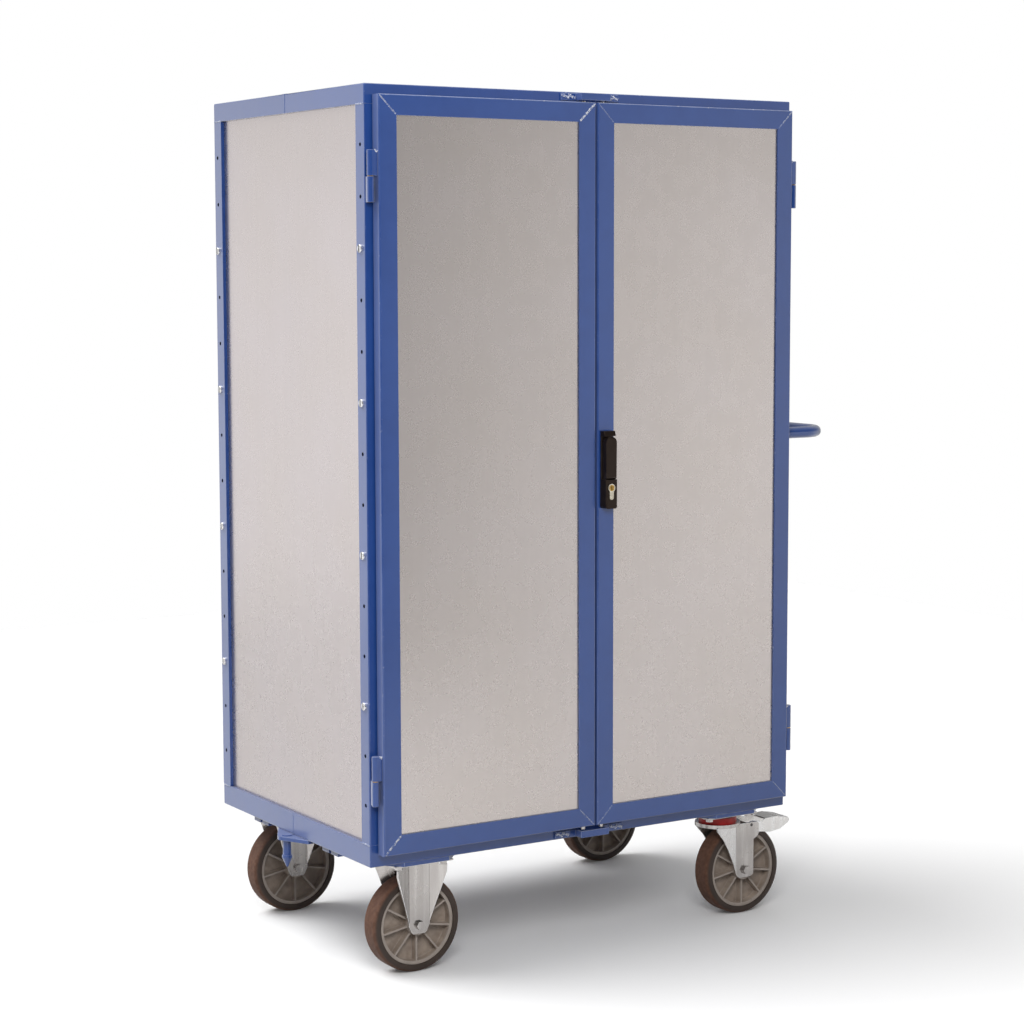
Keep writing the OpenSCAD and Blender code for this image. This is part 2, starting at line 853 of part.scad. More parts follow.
// The lock case behind the door's sheet: open to the sheet, holes for the rods and the spindle
module lock_case() {
    x0 = lock_x - case_w / 2;
    x1 = lock_x + case_w / 2;
    z0 = lock_z - case_h / 2;
    z1 = lock_z + case_h / 2;
    y1 = door_back - free_gap;
    color(zinc) place() difference() {
        block([x0, panel_back, z0], [x1, y1, z1]);
        block([x0 + case_wall, panel_back - 1, z0 + case_wall],
              [x1 - case_wall, y1 - case_wall, z1 - case_wall]);
        translate([lock_x, rod_y, z0 - 1]) cylinder(d = rod_d + 2 * run_gap, h = case_h + 2);
        translate([lock_x, 0, lock_z]) wall_xz(y1 - case_wall - 1, y1 + 1)
            circle(d = shaft_d + 2 * run_gap);
    }
}

// The spindle: tongue for the lever, flange, shaft and the crank disc inside the lock case
disc_r = case_w / 2 - case_wall - free_gap;
disc_t = 2;
module lock_spindle() {
    flange_y = door_front - lock_plate_t - run_gap;
    color(zinc) place() difference() {
        union() {
            translate([lock_x, 0, lock_z]) {
                wall_xz(flange_y, door_back - free_gap) circle(d = shaft_d);
                wall_xz(flange_y - flange_t, flange_y) circle(d = flange_d);
                wall_xz(panel_back + free_gap, panel_back + free_gap + disc_t) circle(r = disc_r);
            }
            block([lock_x - tongue_w / 2, swing_y - tongue_r, lock_z - 3],
                  [lock_x + tongue_w / 2, flange_y - flange_t / 2, swing_z]);
            translate([lock_x - tongue_w / 2, swing_y, swing_z]) rotate([0, 90, 0])
                cylinder(r = tongue_r, h = tongue_w);
        }
        translate([lock_x - tongue_w, swing_y, swing_z]) rotate([0, 90, 0])
            cylinder(d = lever_pin_d + 2 * run_gap, h = 2 * tongue_w);
    }
}

// The lever: swings out about its pin, then turns with the spindle
lever_back = lock_front + lever_t;
lever_skin = 2;
tongue_gap = 0.3;
slot_below = 12;
lever_bevel = 6;

// The lever's outline from the front: round at the top, an arc about the spindle at the bottom
module lever_outline() {
    circle(d = lever_w);
    intersection() {
        translate([-lever_w / 2, -lever_len]) square([lever_w, lever_len]);
        circle(r = lever_len);
    }
}

module lock_lever() {
    slot = tongue_w / 2 + tongue_gap;
    color([0.09, 0.09, 0.09]) place() union() {
        difference() {
            intersection() {
                translate([lock_x, 0, lock_z]) wall_xz(lock_front, lever_back) lever_outline();
                // Rounded about the swing pin above it, so that the lever can swing out
                union() {
                    block([lock_x - lever_w, lock_front, lock_z - lever_len - 1],
                          [lock_x + lever_w, lever_back, swing_z]);
                    translate([lock_x - lever_w, swing_y, swing_z]) rotate([0, 90, 0])
                        cylinder(r = swing_r, h = 2 * lever_w);
                }
            }
            // The slot for the tongue, open to the back and the top
            block([lock_x - slot, lock_front + lever_skin, lock_z - slot_below],
                  [lock_x + slot, lever_back + 1, lock_z + lever_w]);
            // The bevelled front edge of the lower end
            translate([lock_x, lock_front, lock_z - lever_len]) rotate([45, 0, 0])
                cube([2 * lever_w, lever_bevel, lever_bevel], center = true);
        }
        translate([lock_x - lever_w / 4 - tongue_w / 4, swing_y, swing_z]) rotate([0, 90, 0])
            cylinder(d = lever_pin_d, h = lever_w / 2 + tongue_w / 2);
    }
}

// ---------------------------------------------------------------- castor plates and bolts

castor_spots = [[fixed_x, castor_y], [fixed_x, rear_castor_y],
                [swivel_cx, castor_y], [swivel_cx, rear_castor_y]];
castor_bolt_d = 10;
castor_head_d = 17;
castor_head_h = 6.5;

module plate_holes(z, h, d) {
    for (sx = [-1, 1], sy = [-1, 1])
        translate([sx * plate_hole_l / 2, sy * plate_hole_w / 2, z]) cylinder(d = d, h = h);
}

module castor_mounting_plates() {
    l = mount_l / 2;
    w = mount_w / 2;
    c = mount_cut;
    color(paint_blue) place() for (p = castor_spots)
        translate([p[0], p[1], 0]) difference() {
            translate([0, 0, castor_h]) linear_extrude(mount_t)
                polygon([[-l + c, -w], [l - c, -w], [l, -w + c], [l, w - c],
                         [l - c, w], [-l + c, w], [-l, w - c], [-l, -w + c]]);
            plate_holes(castor_h - 1, mount_t + 2, castor_bolt_d + 2 * run_gap);
        }
}

// Bolts from below through the castor plates into the mounting plates
module castor_bolts() {
    z = castor_h - castor_t;
    color(zinc) place() for (p = castor_spots) translate([p[0], p[1], 0]) {
        plate_holes(z, castor_t + mount_t, castor_bolt_d);
        for (sx = [-1, 1], sy = [-1, 1])
            translate([sx * plate_hole_l / 2, sy * plate_hole_w / 2, z - castor_head_h])
                cylinder(d = castor_head_d, h = castor_head_h, $fn = 6);
    }
}

// A castor's top plate about its own middle
module top_plate() {
    difference() {
        block([-plate_l / 2, -plate_w / 2, castor_h - castor_t],
              [plate_l / 2, plate_w / 2, castor_h]);
        plate_holes(castor_h - castor_t - 1, castor_t + 2, castor_bolt_d + 2 * run_gap);
    }
}

// ---------------------------------------------------------------- wheels

leg_in = tyre_w / 2 + 3.5;
leg_out = leg_in + castor_t;
sleeve_d = 20;

axle_hex_d = 19;
axle_head_h = 7.5;
axle_nut_h = 9;

// The axle set at a wheel's middle: sleeve between the legs, bolt, nut
module axle_set() {
    rotate([90, 0, 0]) {
        translate([0, 0, -leg_in]) difference() {
            cylinder(d = sleeve_d, h = 2 * leg_in);
            translate([0, 0, -1]) cylinder(d = axle_d + 2 * run_gap, h = 2 * leg_in + 2);
        }
        translate([0, 0, -leg_out - axle_nut_h])
            cylinder(d = axle_d, h = 2 * leg_out + axle_nut_h);
        translate([0, 0, leg_out]) cylinder(d = axle_hex_d, h = axle_head_h, $fn = 6);
        translate([0, 0, -leg_out - axle_nut_h]) difference() {
            cylinder(d = axle_hex_d, h = axle_nut_h, $fn = 6);
            translate([0, 0, -1]) cylinder(d = axle_d, h = axle_nut_h + 2);
        }
    }
}

// A tyre about its own middle, axle along Y
module tyre() {
    inner = wheel_r - tyre_t;
    flat = tyre_w / 2 - shoulder_r;
    rotate([90, 0, 0]) rotate_extrude() intersection() {
        union() {
            translate([inner, -tyre_w / 2]) square([tyre_t - shoulder_r, tyre_w]);
            translate([inner, -flat]) square([tyre_t, 2 * flat]);
            for (s = [-1, 1]) translate([wheel_r - shoulder_r, s * flat]) circle(r = shoulder_r);
        }
        translate([inner, -tyre_w]) square([2 * tyre_t, 2 * tyre_w]);
    }
}

// A hub: rim ring, middle disc, boss and ribs on both faces
rim_t = 7;
rim_w = 44;
web_disc_t = 6;
boss_d = 46;
rib_t = 4;
module hub() {
    rim_out = wheel_r - tyre_t;
    rim_in = rim_out - rim_t;
    bore = sleeve_d + 2 * run_gap;
    boss_w = 2 * leg_in - 2 * free_gap;
    rotate([90, 0, 0]) {
        rotate_extrude() {
            translate([rim_in, -rim_w / 2]) square([rim_t, rim_w]);
            translate([bore / 2, -web_disc_t / 2]) square([rim_in - bore / 2 + 1, web_disc_t]);
            translate([bore / 2, -boss_w / 2]) square([boss_d / 2 - bore / 2, boss_w]);
        }
        for (k = [0:rib_count - 1]) rotate([0, 0, 30 + k * 360 / rib_count])
            translate([boss_d / 2 - 2, -rib_t / 2, -rim_w / 2 + 2])
                cube([rim_in - boss_d / 2 + 3, rib_t, rim_w - 4]);
    }
}

module at_fixed(y) {
    place() translate([fixed_x, y, wheel_r]) children();
}

module at_swivel(y) {
    place() translate([swivel_cx, y, 0]) children();
}

module at_swivel_wheel(y) {
    at_swivel(y) translate([trail, 0, wheel_r]) children();
}

hub_colour = [0.42, 0.40, 0.38];
tyre_colour = [0.20, 0.16, 0.14];

module front_fixed_hub() { color(hub_colour) at_fixed(castor_y) hub(); }
module front_fixed_tyre() { color(tyre_colour) at_fixed(castor_y) tyre(); }
module rear_fixed_hub() { color(hub_colour) at_fixed(rear_castor_y) hub(); }
module rear_fixed_tyre() { color(tyre_colour) at_fixed(rear_castor_y) tyre(); }
module front_swivel_hub() { color(hub_colour) at_swivel_wheel(castor_y) hub(); }
module front_swivel_tyre() { color(tyre_colour) at_swivel_wheel(castor_y) tyre(); }
module rear_swivel_hub() { color(hub_colour) at_swivel_wheel(rear_castor_y) hub(); }
module rear_swivel_tyre() { color(tyre_colour) at_swivel_wheel(rear_castor_y) tyre(); }

module fixed_castor_axles() {
    color(zinc) for (y = [castor_y, rear_castor_y]) at_fixed(y) axle_set();
}

// ---------------------------------------------------------------- fixed castor brackets

leg_half = 24.5;
leg_foot = 18;
foot_cut = 4;
wing_w = 38;
wing_angle = 25;
wing_edge = 14;
// The wings stop below the bolt heads, which start this far from the fold
bolt_from_fold = (plate_hole_l / 2 - leg_half) * cos(wing_angle)
               + (plate_hole_w / 2 - leg_in) * sin(wing_angle);
notch_x = bolt_from_fold - castor_head_d / 2 - 2 * free_gap;
notch_z = castor_h - castor_t - castor_head_h - 2 * free_gap;

// One leg of a fixed bracket, at the -Y side: a flat strip with two wings that flare outwards
module fixed_leg() {
    top = castor_h - castor_t + 1;
    low = wheel_r - leg_foot;
    difference() {
        union() {
            wall_xz(-leg_out, -leg_in) {
                polygon([[-leg_half, top], [leg_half, top], [leg_half, wheel_r],
                         [leg_foot, low + foot_cut], [leg_foot - foot_cut, low],
                         [-leg_foot + foot_cut, low], [-leg_foot, low + foot_cut],
                         [-leg_half, wheel_r]]);
            }
            for (s = [0, 1]) mirror([s, 0, 0])
                translate([leg_half, -leg_in, 0]) rotate([0, 0, -wing_angle])
                    wall_xz(-castor_t, 0)
                        polygon([[-1, wheel_r + 2], [0, wheel_r + 2],
                                 [wing_w, notch_z - wing_edge], [wing_w, notch_z],
                                 [notch_x, notch_z], [notch_x, top], [-1, top]]);
        }
        translate([0, -leg_out - 1, wheel_r]) rotate([-90, 0, 0])
            cylinder(d = axle_d + 2 * run_gap, h = castor_t + 2);
    }
}

module fixed_castor_brackets() {
    color(zinc) for (y = [castor_y, rear_castor_y])
        place() translate([fixed_x, y, 0]) {
            top_plate();
            fixed_leg();
            mirror([0, 1, 0]) fixed_leg();
        }
}

// ---------------------------------------------------------------- swivel castors

crown_t = 8;
crown_gap = 3;
crown_z = wheel_d + crown_gap;
crown_top = crown_z + crown_t;
king_d = 16;
ball_d = 8;
ball_r = 28;
race_r = 36;
race_z = crown_top + free_gap + ball_d;
ring_t = 4;
ring_h = 13;

// The plate that is bolted under the body, with the upper ball race
module swivel_castor_plates() {
    color(zinc) for (y = [castor_y, rear_castor_y]) at_swivel(y) {
        difference() {
            union() {
                top_plate();
                translate([0, 0, race_z]) cylinder(r = race_r, h = castor_h - castor_t - race_z);
            }
            translate([0, 0, race_z - 1]) cylinder(d = king_d + 2 * run_gap, h = castor_h);
        }
    }
}

king_head_d = 26;
king_head_h = 2.2;
module swivel_king_bolts() {
    nut_z = crown_z - free_gap - king_head_h;
    color(zinc) for (y = [castor_y, rear_castor_y]) at_swivel(y) {
        translate([0, 0, nut_z]) cylinder(d = king_head_d, h = king_head_h);
        translate([0, 0, nut_z]) cylinder(d = king_d, h = castor_h - nut_z);
    }
}

module swivel_bearing_balls() {
    color([0.85, 0.85, 0.86]) for (y = [castor_y, rear_castor_y]) at_swivel(y)
        for (k = [0:ball_count - 1]) rotate([0, 0, k * 360 / ball_count])
            translate([ball_r, 0, race_z - ball_d / 2 - run_gap]) sphere(d = ball_d, $fn = 24);
}

// The pedal's pivot, from the swivel axis and the floor
pedal_x = trail + 17;
pedal_z = wheel_d - 1;
pedal_pin_d = 7;

fork_foot = 23;
fork_fold = trail - fork_foot - 3;
fork_flare = 10;

// The outline of a swivel fork's leg, from the swivel axis and the floor
module fork_leg_outline() {
    low = wheel_r - 17;
    back = trail + fork_foot;
    nose = trail + 38;
    difference() {
        // The front edge curves from the crown down to the foot under the axle
        polygon([[-33, crown_z + 2], [-33, crown_z - 5], [-24, crown_z - 16], [-14, crown_z - 27],
                 [2, wheel_r + 51], [12, wheel_r + 31], [fork_fold - 7, wheel_r + 15],
                 [fork_fold, wheel_r - 5], [fork_fold + 4, low + 5], [fork_fold + 10, low],
                 [back - 10, low], [back - 2, low + 3], [back, low + 10], [back, crown_z - 37],
                 [nose - 4, crown_z - 31], [nose, crown_z - 23], [nose, crown_z - 2],
                 [nose - 4, crown_z + 2]]);
        translate([trail, wheel_r]) circle(d = axle_d + 2 * run_gap);
        translate([pedal_x, pedal_z]) circle(d = pedal_pin_d + 2 * run_gap);
    }
}

// A fork's leg at the -Y side: the part before the fold turns outwards
module fork_leg() {
    wall_xz(-leg_out, -leg_in) intersection() {
        fork_leg_outline();
        translate([fork_fold, 0]) square([wheel_d, 2 * wheel_d]);
    }
    translate([fork_fold, -leg_in, 0]) rotate([0, 0, fork_flare])
        wall_xz(-castor_t, 0) intersection() {
            translate([-fork_fold, 0]) fork_leg_outline();
            translate([-wheel_d, 0]) square([wheel_d, 2 * wheel_d]);
        }
}

module swivel_fork() {
    difference() {
        union() {
            translate([0, 0, crown_z]) cylinder(r = crown_r, h = crown_t);
            fork_leg();
            mirror([0, 1, 0]) fork_leg();
        }
        translate([0, 0, crown_z - 1]) cylinder(d = king_d + 2 * run_gap, h = crown_t + 2);
    }
}

module swivel_ring() {
    translate([0, 0, crown_top]) difference() {
        cylinder(r = ring_r, h = ring_h);
        translate([0, 0, -1]) cylinder(r = ring_r - ring_t, h = ring_h + 2);
    }
}

// The brake pedal: a tread plate between two cheeks that pivot in the fork's legs
cheek_t = 2;
cheek_in = leg_in - free_gap - cheek_t;
module pedal_cheek() {
    polygon([[pedal_x - 7, pedal_z - 6], [pedal_x - 7, pedal_z + 5], [pedal_x + 6, pedal_z + 8],
             [trail + 50, pedal_z + 3], [trail + 60, pedal_z + 9], [trail + 92, pedal_z + 10],
             [trail + 124, pedal_z + 4], [trail + 127, pedal_z - 2], [trail + 124, pedal_z - 8],
             [trail + 102, pedal_z - 20], [trail + 74, pedal_z - 24], [trail + 30, pedal_z - 18]]);
}

module brake_pedal() {
    tread_x = trail + 60;
    for (s = [0, 1]) mirror([0, s, 0]) {
        wall_xz(-cheek_in - cheek_t, -cheek_in) pedal_cheek();
        translate([pedal_x, -leg_out, pedal_z]) rotate([-90, 0, 0])
            cylinder(d = pedal_pin_d, h = leg_out - cheek_in);
    }
    wall_xz(-cheek_in - cheek_t, cheek_in + cheek_t)
        polygon([[tread_x, pedal_z + 6], [tread_x, pedal_z + 9], [trail + 92, pedal_z + 10],
                 [trail + 124, pedal_z + 4], [trail + 127, pedal_z - 2], [trail + 124, pedal_z - 8],
                 [trail + 121, pedal_z - 7], [trail + 121, pedal_z + 1], [trail + 92, pedal_z + 7]]);
}

red = [0.75, 0.05, 0.05];

module front_swivel_fork() { color(zinc) at_swivel(castor_y) swivel_fork(); }
module front_swivel_ring() { color(red) at_swivel(castor_y) swivel_ring(); }
module front_swivel_axle() { color(zinc) at_swivel_wheel(castor_y) axle_set(); }
module front_brake_pedal() { color(zinc) at_swivel(castor_y) brake_pedal(); }
module rear_swivel_fork() { color(zinc) at_swivel(rear_castor_y) swivel_fork(); }
module rear_swivel_ring() { color(red) at_swivel(rear_castor_y) swivel_ring(); }
module rear_swivel_axle() { color(zinc) at_swivel_wheel(rear_castor_y) axle_set(); }
module rear_brake_pedal() { color(zinc) at_swivel(rear_castor_y) brake_pedal(); }

// ---------------------------------------------------------------- assembly

base_frame();
top_frame();
corner_uprights();
underframe_bars();
castor_mounting_plates();
floor_panel();
roof_panel();
left_end_panel();
right_end_panel();
back_panel();
shelves();
shelf_supports();
shelf_screws();
rod_keepers();
push_handle();
tow_plate();
tow_pin();
hinge_sockets();
hinge_pins();
hinge_washers();
castor_bolts();
fixed_castor_brackets();
fixed_castor_axles();
swivel_castor_plates();
swivel_king_bolts();
swivel_bearing_balls();
left_door_frame();
left_door_panel();
left_hinge_leaves();
left_bolt_guides();
left_upper_bolt();
left_lower_bolt();
right_door_frame();
right_door_panel();
right_hinge_leaves();
lock_housing();
lock_case();
lock_cylinder();
rod_guides();
lock_spindle();
lock_lever();
cylinder_plug();
upper_rod();
lower_rod();
front_fixed_hub();
front_fixed_tyre();
rear_fixed_hub();
rear_fixed_tyre();
front_swivel_fork();
front_swivel_ring();
front_swivel_axle();
front_swivel_hub();
front_swivel_tyre();
front_brake_pedal();
rear_swivel_fork();
rear_swivel_ring();
rear_swivel_axle();
rear_swivel_hub();
rear_swivel_tyre();
rear_brake_pedal();
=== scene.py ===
import json
import math

import bmesh
import bpy
from mathutils import Matrix, Vector


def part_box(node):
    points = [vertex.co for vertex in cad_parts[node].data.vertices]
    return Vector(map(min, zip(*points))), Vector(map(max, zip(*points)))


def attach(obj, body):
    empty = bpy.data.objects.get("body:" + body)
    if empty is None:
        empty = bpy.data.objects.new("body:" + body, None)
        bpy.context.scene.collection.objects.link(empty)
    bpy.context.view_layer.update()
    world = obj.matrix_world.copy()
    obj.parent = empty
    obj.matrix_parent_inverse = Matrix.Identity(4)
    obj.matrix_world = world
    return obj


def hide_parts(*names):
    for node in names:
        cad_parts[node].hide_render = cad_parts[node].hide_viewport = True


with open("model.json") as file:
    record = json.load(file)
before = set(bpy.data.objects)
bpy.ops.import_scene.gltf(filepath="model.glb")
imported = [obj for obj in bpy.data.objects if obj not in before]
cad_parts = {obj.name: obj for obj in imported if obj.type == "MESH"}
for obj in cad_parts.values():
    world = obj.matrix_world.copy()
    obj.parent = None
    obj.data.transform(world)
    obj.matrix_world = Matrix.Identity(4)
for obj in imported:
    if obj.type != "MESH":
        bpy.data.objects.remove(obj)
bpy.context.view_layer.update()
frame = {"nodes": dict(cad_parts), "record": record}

MM = 0.001
BODY_OF = {
    node: body
    for body, nodes in frame["record"]["behaviour"]["bodies"].items()
    for node in nodes
}

# ---------------------------------------------------------------- colours and shader maths


def srgb(red, green, blue):
    """A colour given in 0-255 display values, as the linear colour that a shader takes."""
    def linear(value):
        value /= 255
        return value / 12.92 if value <= 0.04045 else ((value + 0.055) / 1.055) ** 2.4
    return (linear(red), linear(green), linear(blue), 1.0)


class Wire:
    """A shader socket that carries a number. Arithmetic on it adds Math nodes."""

    def __init__(self, finish, socket):
        self.finish = finish
        self.socket = socket

    def maths(self, operation, first, second):
        return self.finish.node("Math", {"operation": operation}, {0: first, 1: second})

    def __add__(self, other):
        return self.maths("ADD", self, other)

    def __radd__(self, other):
        return self.maths("ADD", other, self)

    def __sub__(self, other):
        return self.maths("SUBTRACT", self, other)

    def __rsub__(self, other):
        return self.maths("SUBTRACT", other, self)

    def __mul__(self, other):
        return self.maths("MULTIPLY", self, other)

    def __rmul__(self, other):
        return self.maths("MULTIPLY", other, self)


class Finish:
    """A material in the making, or another tree of shader nodes."""

    def __init__(self, name, tree=None):
        if tree is None:
            self.material = bpy.data.materials.new(name)
            self.material.use_nodes = True
            tree = self.material.node_tree
        self.tree = tree
        self.tree.nodes.clear()

    def node(self, kind, settings, inputs, output=0):
        """Any node: its settings are set first, then the values or links of its sockets."""
        made = self.tree.nodes.new("ShaderNode" + kind)
        for key, value in settings.items():
            setattr(made, key, value)
        for socket, value in inputs.items():
            if isinstance(value, Wire):
                self.tree.links.new(value.socket, made.inputs[socket])
            else:
                made.inputs[socket].default_value = value
        return None if output is None else Wire(self, made.outputs[output])

    def place(self, centre=(0, 0, 0), scale=(1, 1, 1)):
        """The Object coordinates, moved to a centre and then stretched."""
        coordinates = self.node("TexCoord", {}, {}, "Object")
        moved = self.node("VectorMath", {"operation": "SUBTRACT"}, {0: coordinates, 1: centre})
        return self.node("VectorMath", {"operation": "MULTIPLY"}, {0: moved, 1: scale})

    def axes(self, vector):
        """The three numbers of a vector."""
        made = self.node("SeparateXYZ", {}, {0: vector})
        outputs = made.socket.node.outputs
        return [Wire(self, outputs[axis]) for axis in range(3)]

    def noise(self, scale, detail=3, stretch=(1, 1, 1)):
        """Noise with so many blotches to the metre."""
        return self.node("TexNoise", {}, {"Vector": self.place(scale=stretch), "Scale": scale,
                                          "Detail": detail})

    def ramp(self, value, low, high, out_low=0.0, out_high=1.0):
        """The value's stretch from low to high, brought smoothly to another range."""
        return self.node("MapRange", {"interpolation_type": "SMOOTHSTEP"},
                         {0: value, 1: low, 2: high, 3: out_low, 4: out_high})

    def mix(self, factor, first, second, blend="MIX"):
        """Two colours mixed."""
        return self.node("Mix", {"data_type": "RGBA", "blend_type": blend},
                         {0: factor, 6: first, 7: second}, 2)

    def tint(self, colour, value):
        """A colour made lighter or darker by a varying value."""
        return self.node("VectorMath", {"operation": "SCALE"}, {0: colour, 3: value})

    def attribute(self, name):
        """A number that the modelling below leaves on the faces of a piece."""
        return self.node("Attribute", {"attribute_name": name}, {}, "Fac")

    def edge(self):
        """1 on the rounded edges of a piece, 0 elsewhere."""
        return self.attribute("edge")

    def bump(self, height, depth):
        return self.node("Bump", {}, {"Height": height, "Distance": depth, "Strength": 1.0})

    def surface(self, inputs):
        """The finished surface."""
        shader = self.node("BsdfPrincipled", {}, inputs)
        self.node("OutputMaterial", {}, {"Surface": shader}, None)
        return self.material


# The numbers that make blotches and grain the right size, in blotches to the metre
CLOUDS = 3
PATCHES = 28
GRAIN = 480


def powder_coat():
    """Blue satin paint: fine orange peel, slight clouding, pale edges (worn, and a painted
    highlight), painted shade in holes.
    """
    f = Finish("powder_coat")
    clouds = f.noise(CLOUDS, 4)
    patches = f.noise(PATCHES, 5)
    peel = f.noise(GRAIN, 2)
    base = f.mix(f.ramp(clouds * 0.6 + patches * 0.4, 0.35, 0.65), srgb(28, 68, 140),
                 srgb(34, 74, 148))
    # Pale edges: partly worn paint, partly a painted highlight
    pale_edge_wear_and_highlight = f.edge() * f.ramp(patches, 0.30, 0.62, 0.45, 0.9)
    base = f.mix(pale_edge_wear_and_highlight, base, srgb(132, 148, 192))
    chips = f.edge() * f.ramp(f.noise(170, 4), 0.66, 0.72)
    # Pale glints painted on the weld beads: a painted highlight
    painted_glints = f.attribute("bead") * f.ramp(f.noise(300, 3), 0.44, 0.52)
    base = f.mix(chips + painted_glints, base, srgb(218, 220, 228))
    # Painted shade: hole walls, folds and other sunk faces painted dark
    base = f.mix(f.attribute("hollow") * 0.9, base, srgb(10, 14, 34))
    return f.surface({
        "Base Color": base,
        "Roughness": f.ramp(patches + peel * 0.3, 0.4, 0.9, 0.36, 0.44),
        "Metallic": 0.0,
        "Specular IOR Level": 0.2,
        "Coat Weight": 1.0,
        "Coat Roughness": 0.2,
        "Coat IOR": 1.6,
        "Sheen Weight": 0.62,
        "Sheen Roughness": 0.42,
        "Normal": f.bump(peel, 0.00008),
    })


def galvanised(name, tone, linen):
    """Zinc-coated sheet: faint crystals, rolling streaks and a fine linen-like grain."""
    f = Finish(name)
    crystals = f.node("TexVoronoi", {}, {"Vector": f.place(), "Scale": 95.0, "Randomness": 1.0},
                      "Color")
    crystal = f.node("SeparateColor", {}, {0: crystals})
    clouds = f.noise(2.2, 4)
    patches = f.noise(24, 5)
    streaks = f.noise(90, 3, (1, 1, 0.02))
    warp = f.noise(380, 1, (1, 1, 0.08))
    weft = f.noise(380, 1, (0.08, 0.08, 1))
    value = (0.968 + crystal * 0.008 + f.ramp(clouds, 0.3, 0.7, -0.008, 0.012)
             + f.ramp(patches, 0.3, 0.7, -0.006, 0.006) + f.ramp(streaks, 0.3, 0.7, -0.006, 0.006)
             + (warp + weft - 1) * linen)
    warm = f.mix(f.ramp(f.noise(5, 3), 0.3, 0.7), tone, f.mix(0.12, tone, srgb(196, 186, 170)))
    colour = f.tint(warm, value)
    worn = f.edge() * 0.3
    return f.surface({
        "Base Color": f.mix(worn, colour, srgb(225, 222, 218)),
        "Roughness": 0.27 + crystal * 0.01 + f.ramp(patches, 0.3, 0.7, -0.01, 0.01),
        "Metallic": 0.9,
    })


def zinc_plate(name, dull, plain, bright):
    """Bright zinc plating: cloudy, with soft upright bands; pale edges, partly worn and partly a
    painted highlight; painted shade on sunk faces.
    """
    f = Finish(name)
    clouds = f.noise(14, 4)
    bands = f.noise(75, 3, (1, 1, 0.05))
    colour = f.mix(f.ramp(clouds, 0.35, 0.7), dull, plain)
    colour = f.mix(f.ramp(bands, 0.4, 0.65, 0, 0.5), colour, bright)
    # Near-white edges: a painted highlight, partly worn plating
    colour = f.mix(f.edge() * 0.9, colour, srgb(250, 250, 250))
    # Painted shade on sunk faces and folds
    colour = f.mix(f.attribute("hollow") * 0.9, colour, srgb(44, 36, 38))
    return f.surface({
        "Base Color": colour,
        "Roughness": f.ramp(clouds + bands * 0.4, 0.5, 1.0, 0.2, 0.34),
        "Metallic": 0.95,
        "Normal": f.bump(bands, 0.00004),
    })


def moulded_hub(name, middle, half_width):
    """One hub's moulded nylon: brown-grey, paler on the rim and ribs, which stand out, with
    painted shade darkening the faces that lie deeper.
    """
    f = Finish(name)
    out = f.node("Math", {"operation": "ABSOLUTE"}, {0: f.axes(f.place(middle))[1]})
    proud = f.ramp(out, half_width * 0.55, half_width * 0.75)
    clouds = f.noise(40, 4)
    specks = f.noise(500, 3)
    # Painted shade: the faces that lie deeper are darker than the rim and ribs that stand out
    shaded_deep = f.mix(f.ramp(clouds, 0.3, 0.7), srgb(146, 132, 121), srgb(178, 163, 150))
    pale = f.mix(f.ramp(clouds, 0.3, 0.7), srgb(165, 153, 144), srgb(182, 170, 160))
    colour = f.mix(proud, shaded_deep, pale)
    colour = f.mix(f.ramp(specks, 0.62, 0.75, 0, 0.25), colour, srgb(156, 148, 140))
    # Pale rounded edges: partly worn, partly a painted highlight
    colour = f.mix(f.edge() * f.ramp(clouds, 0.3, 0.6, 0.5, 0.9), colour, srgb(172, 163, 155))
    return f.surface({
        "Base Color": colour,
        "Roughness": f.ramp(clouds, 0.3, 0.7, 0.40, 0.52),
        "Metallic": 0.0,
        "Normal": f.bump(specks + clouds, 0.00008),
    })


MOULD_LINE = 3 * MM


def tyre_rubber(name, axle, radius):
    """Brown rubber of one wheel: mould lines round the side, a paler, redder, scuffed tread."""
    f = Finish(name)
    x, _, z = f.axes(f.place(axle))
    out = f.node("Math", {"operation": "SQRT"}, {0: x * x + z * z})
    tread = f.ramp(out, radius - 7 * MM, radius - 1 * MM)
    clouds = f.noise(22, 5)
    scuffs = f.noise(120, 5)
    grain = f.noise(900, 2)
    side = f.mix(f.ramp(clouds, 0.3, 0.7), srgb(58, 47, 41), srgb(70, 57, 50))
    top = f.mix(f.ramp(scuffs, 0.35, 0.7), srgb(94, 65, 51), srgb(110, 78, 62))
    rings = f.node("Math", {"operation": "SINE"}, {0: out * (math.tau / MOULD_LINE)})
    return f.surface({
        "Base Color": f.mix(tread, side, top),
        "Roughness": 0.55 + tread * 0.2 + f.ramp(clouds, 0.3, 0.7, -0.05, 0.05),
        "Metallic": 0.0,
        "Normal": f.bump(rings * 0.25 * (1 - tread) + scuffs * tread * 0.5 + grain * 0.3, 0.0001),
    })


def black_plastic():
    """Black glass-filled nylon with a fine texture, grey where hands rub it."""
    f = Finish("black_plastic")
    clouds = f.noise(60, 4)
    grain = f.noise(1400, 2)
    colour = f.mix(f.ramp(clouds, 0.3, 0.7), srgb(27, 21, 18), srgb(36, 29, 25))
    colour = f.mix(f.edge() * f.ramp(clouds, 0.3, 0.6, 0.2, 0.6), colour, srgb(74, 68, 64))
    return f.surface({
        "Base Color": colour,
        "Roughness": f.ramp(clouds + grain * 0.4, 0.4, 0.9, 0.28, 0.42),
        "Metallic": 0.0,
        "Specular IOR Level": 0.4,
        "Specular Tint": srgb(226, 196, 180),
        "Normal": f.bump(grain, 0.00004),
    })


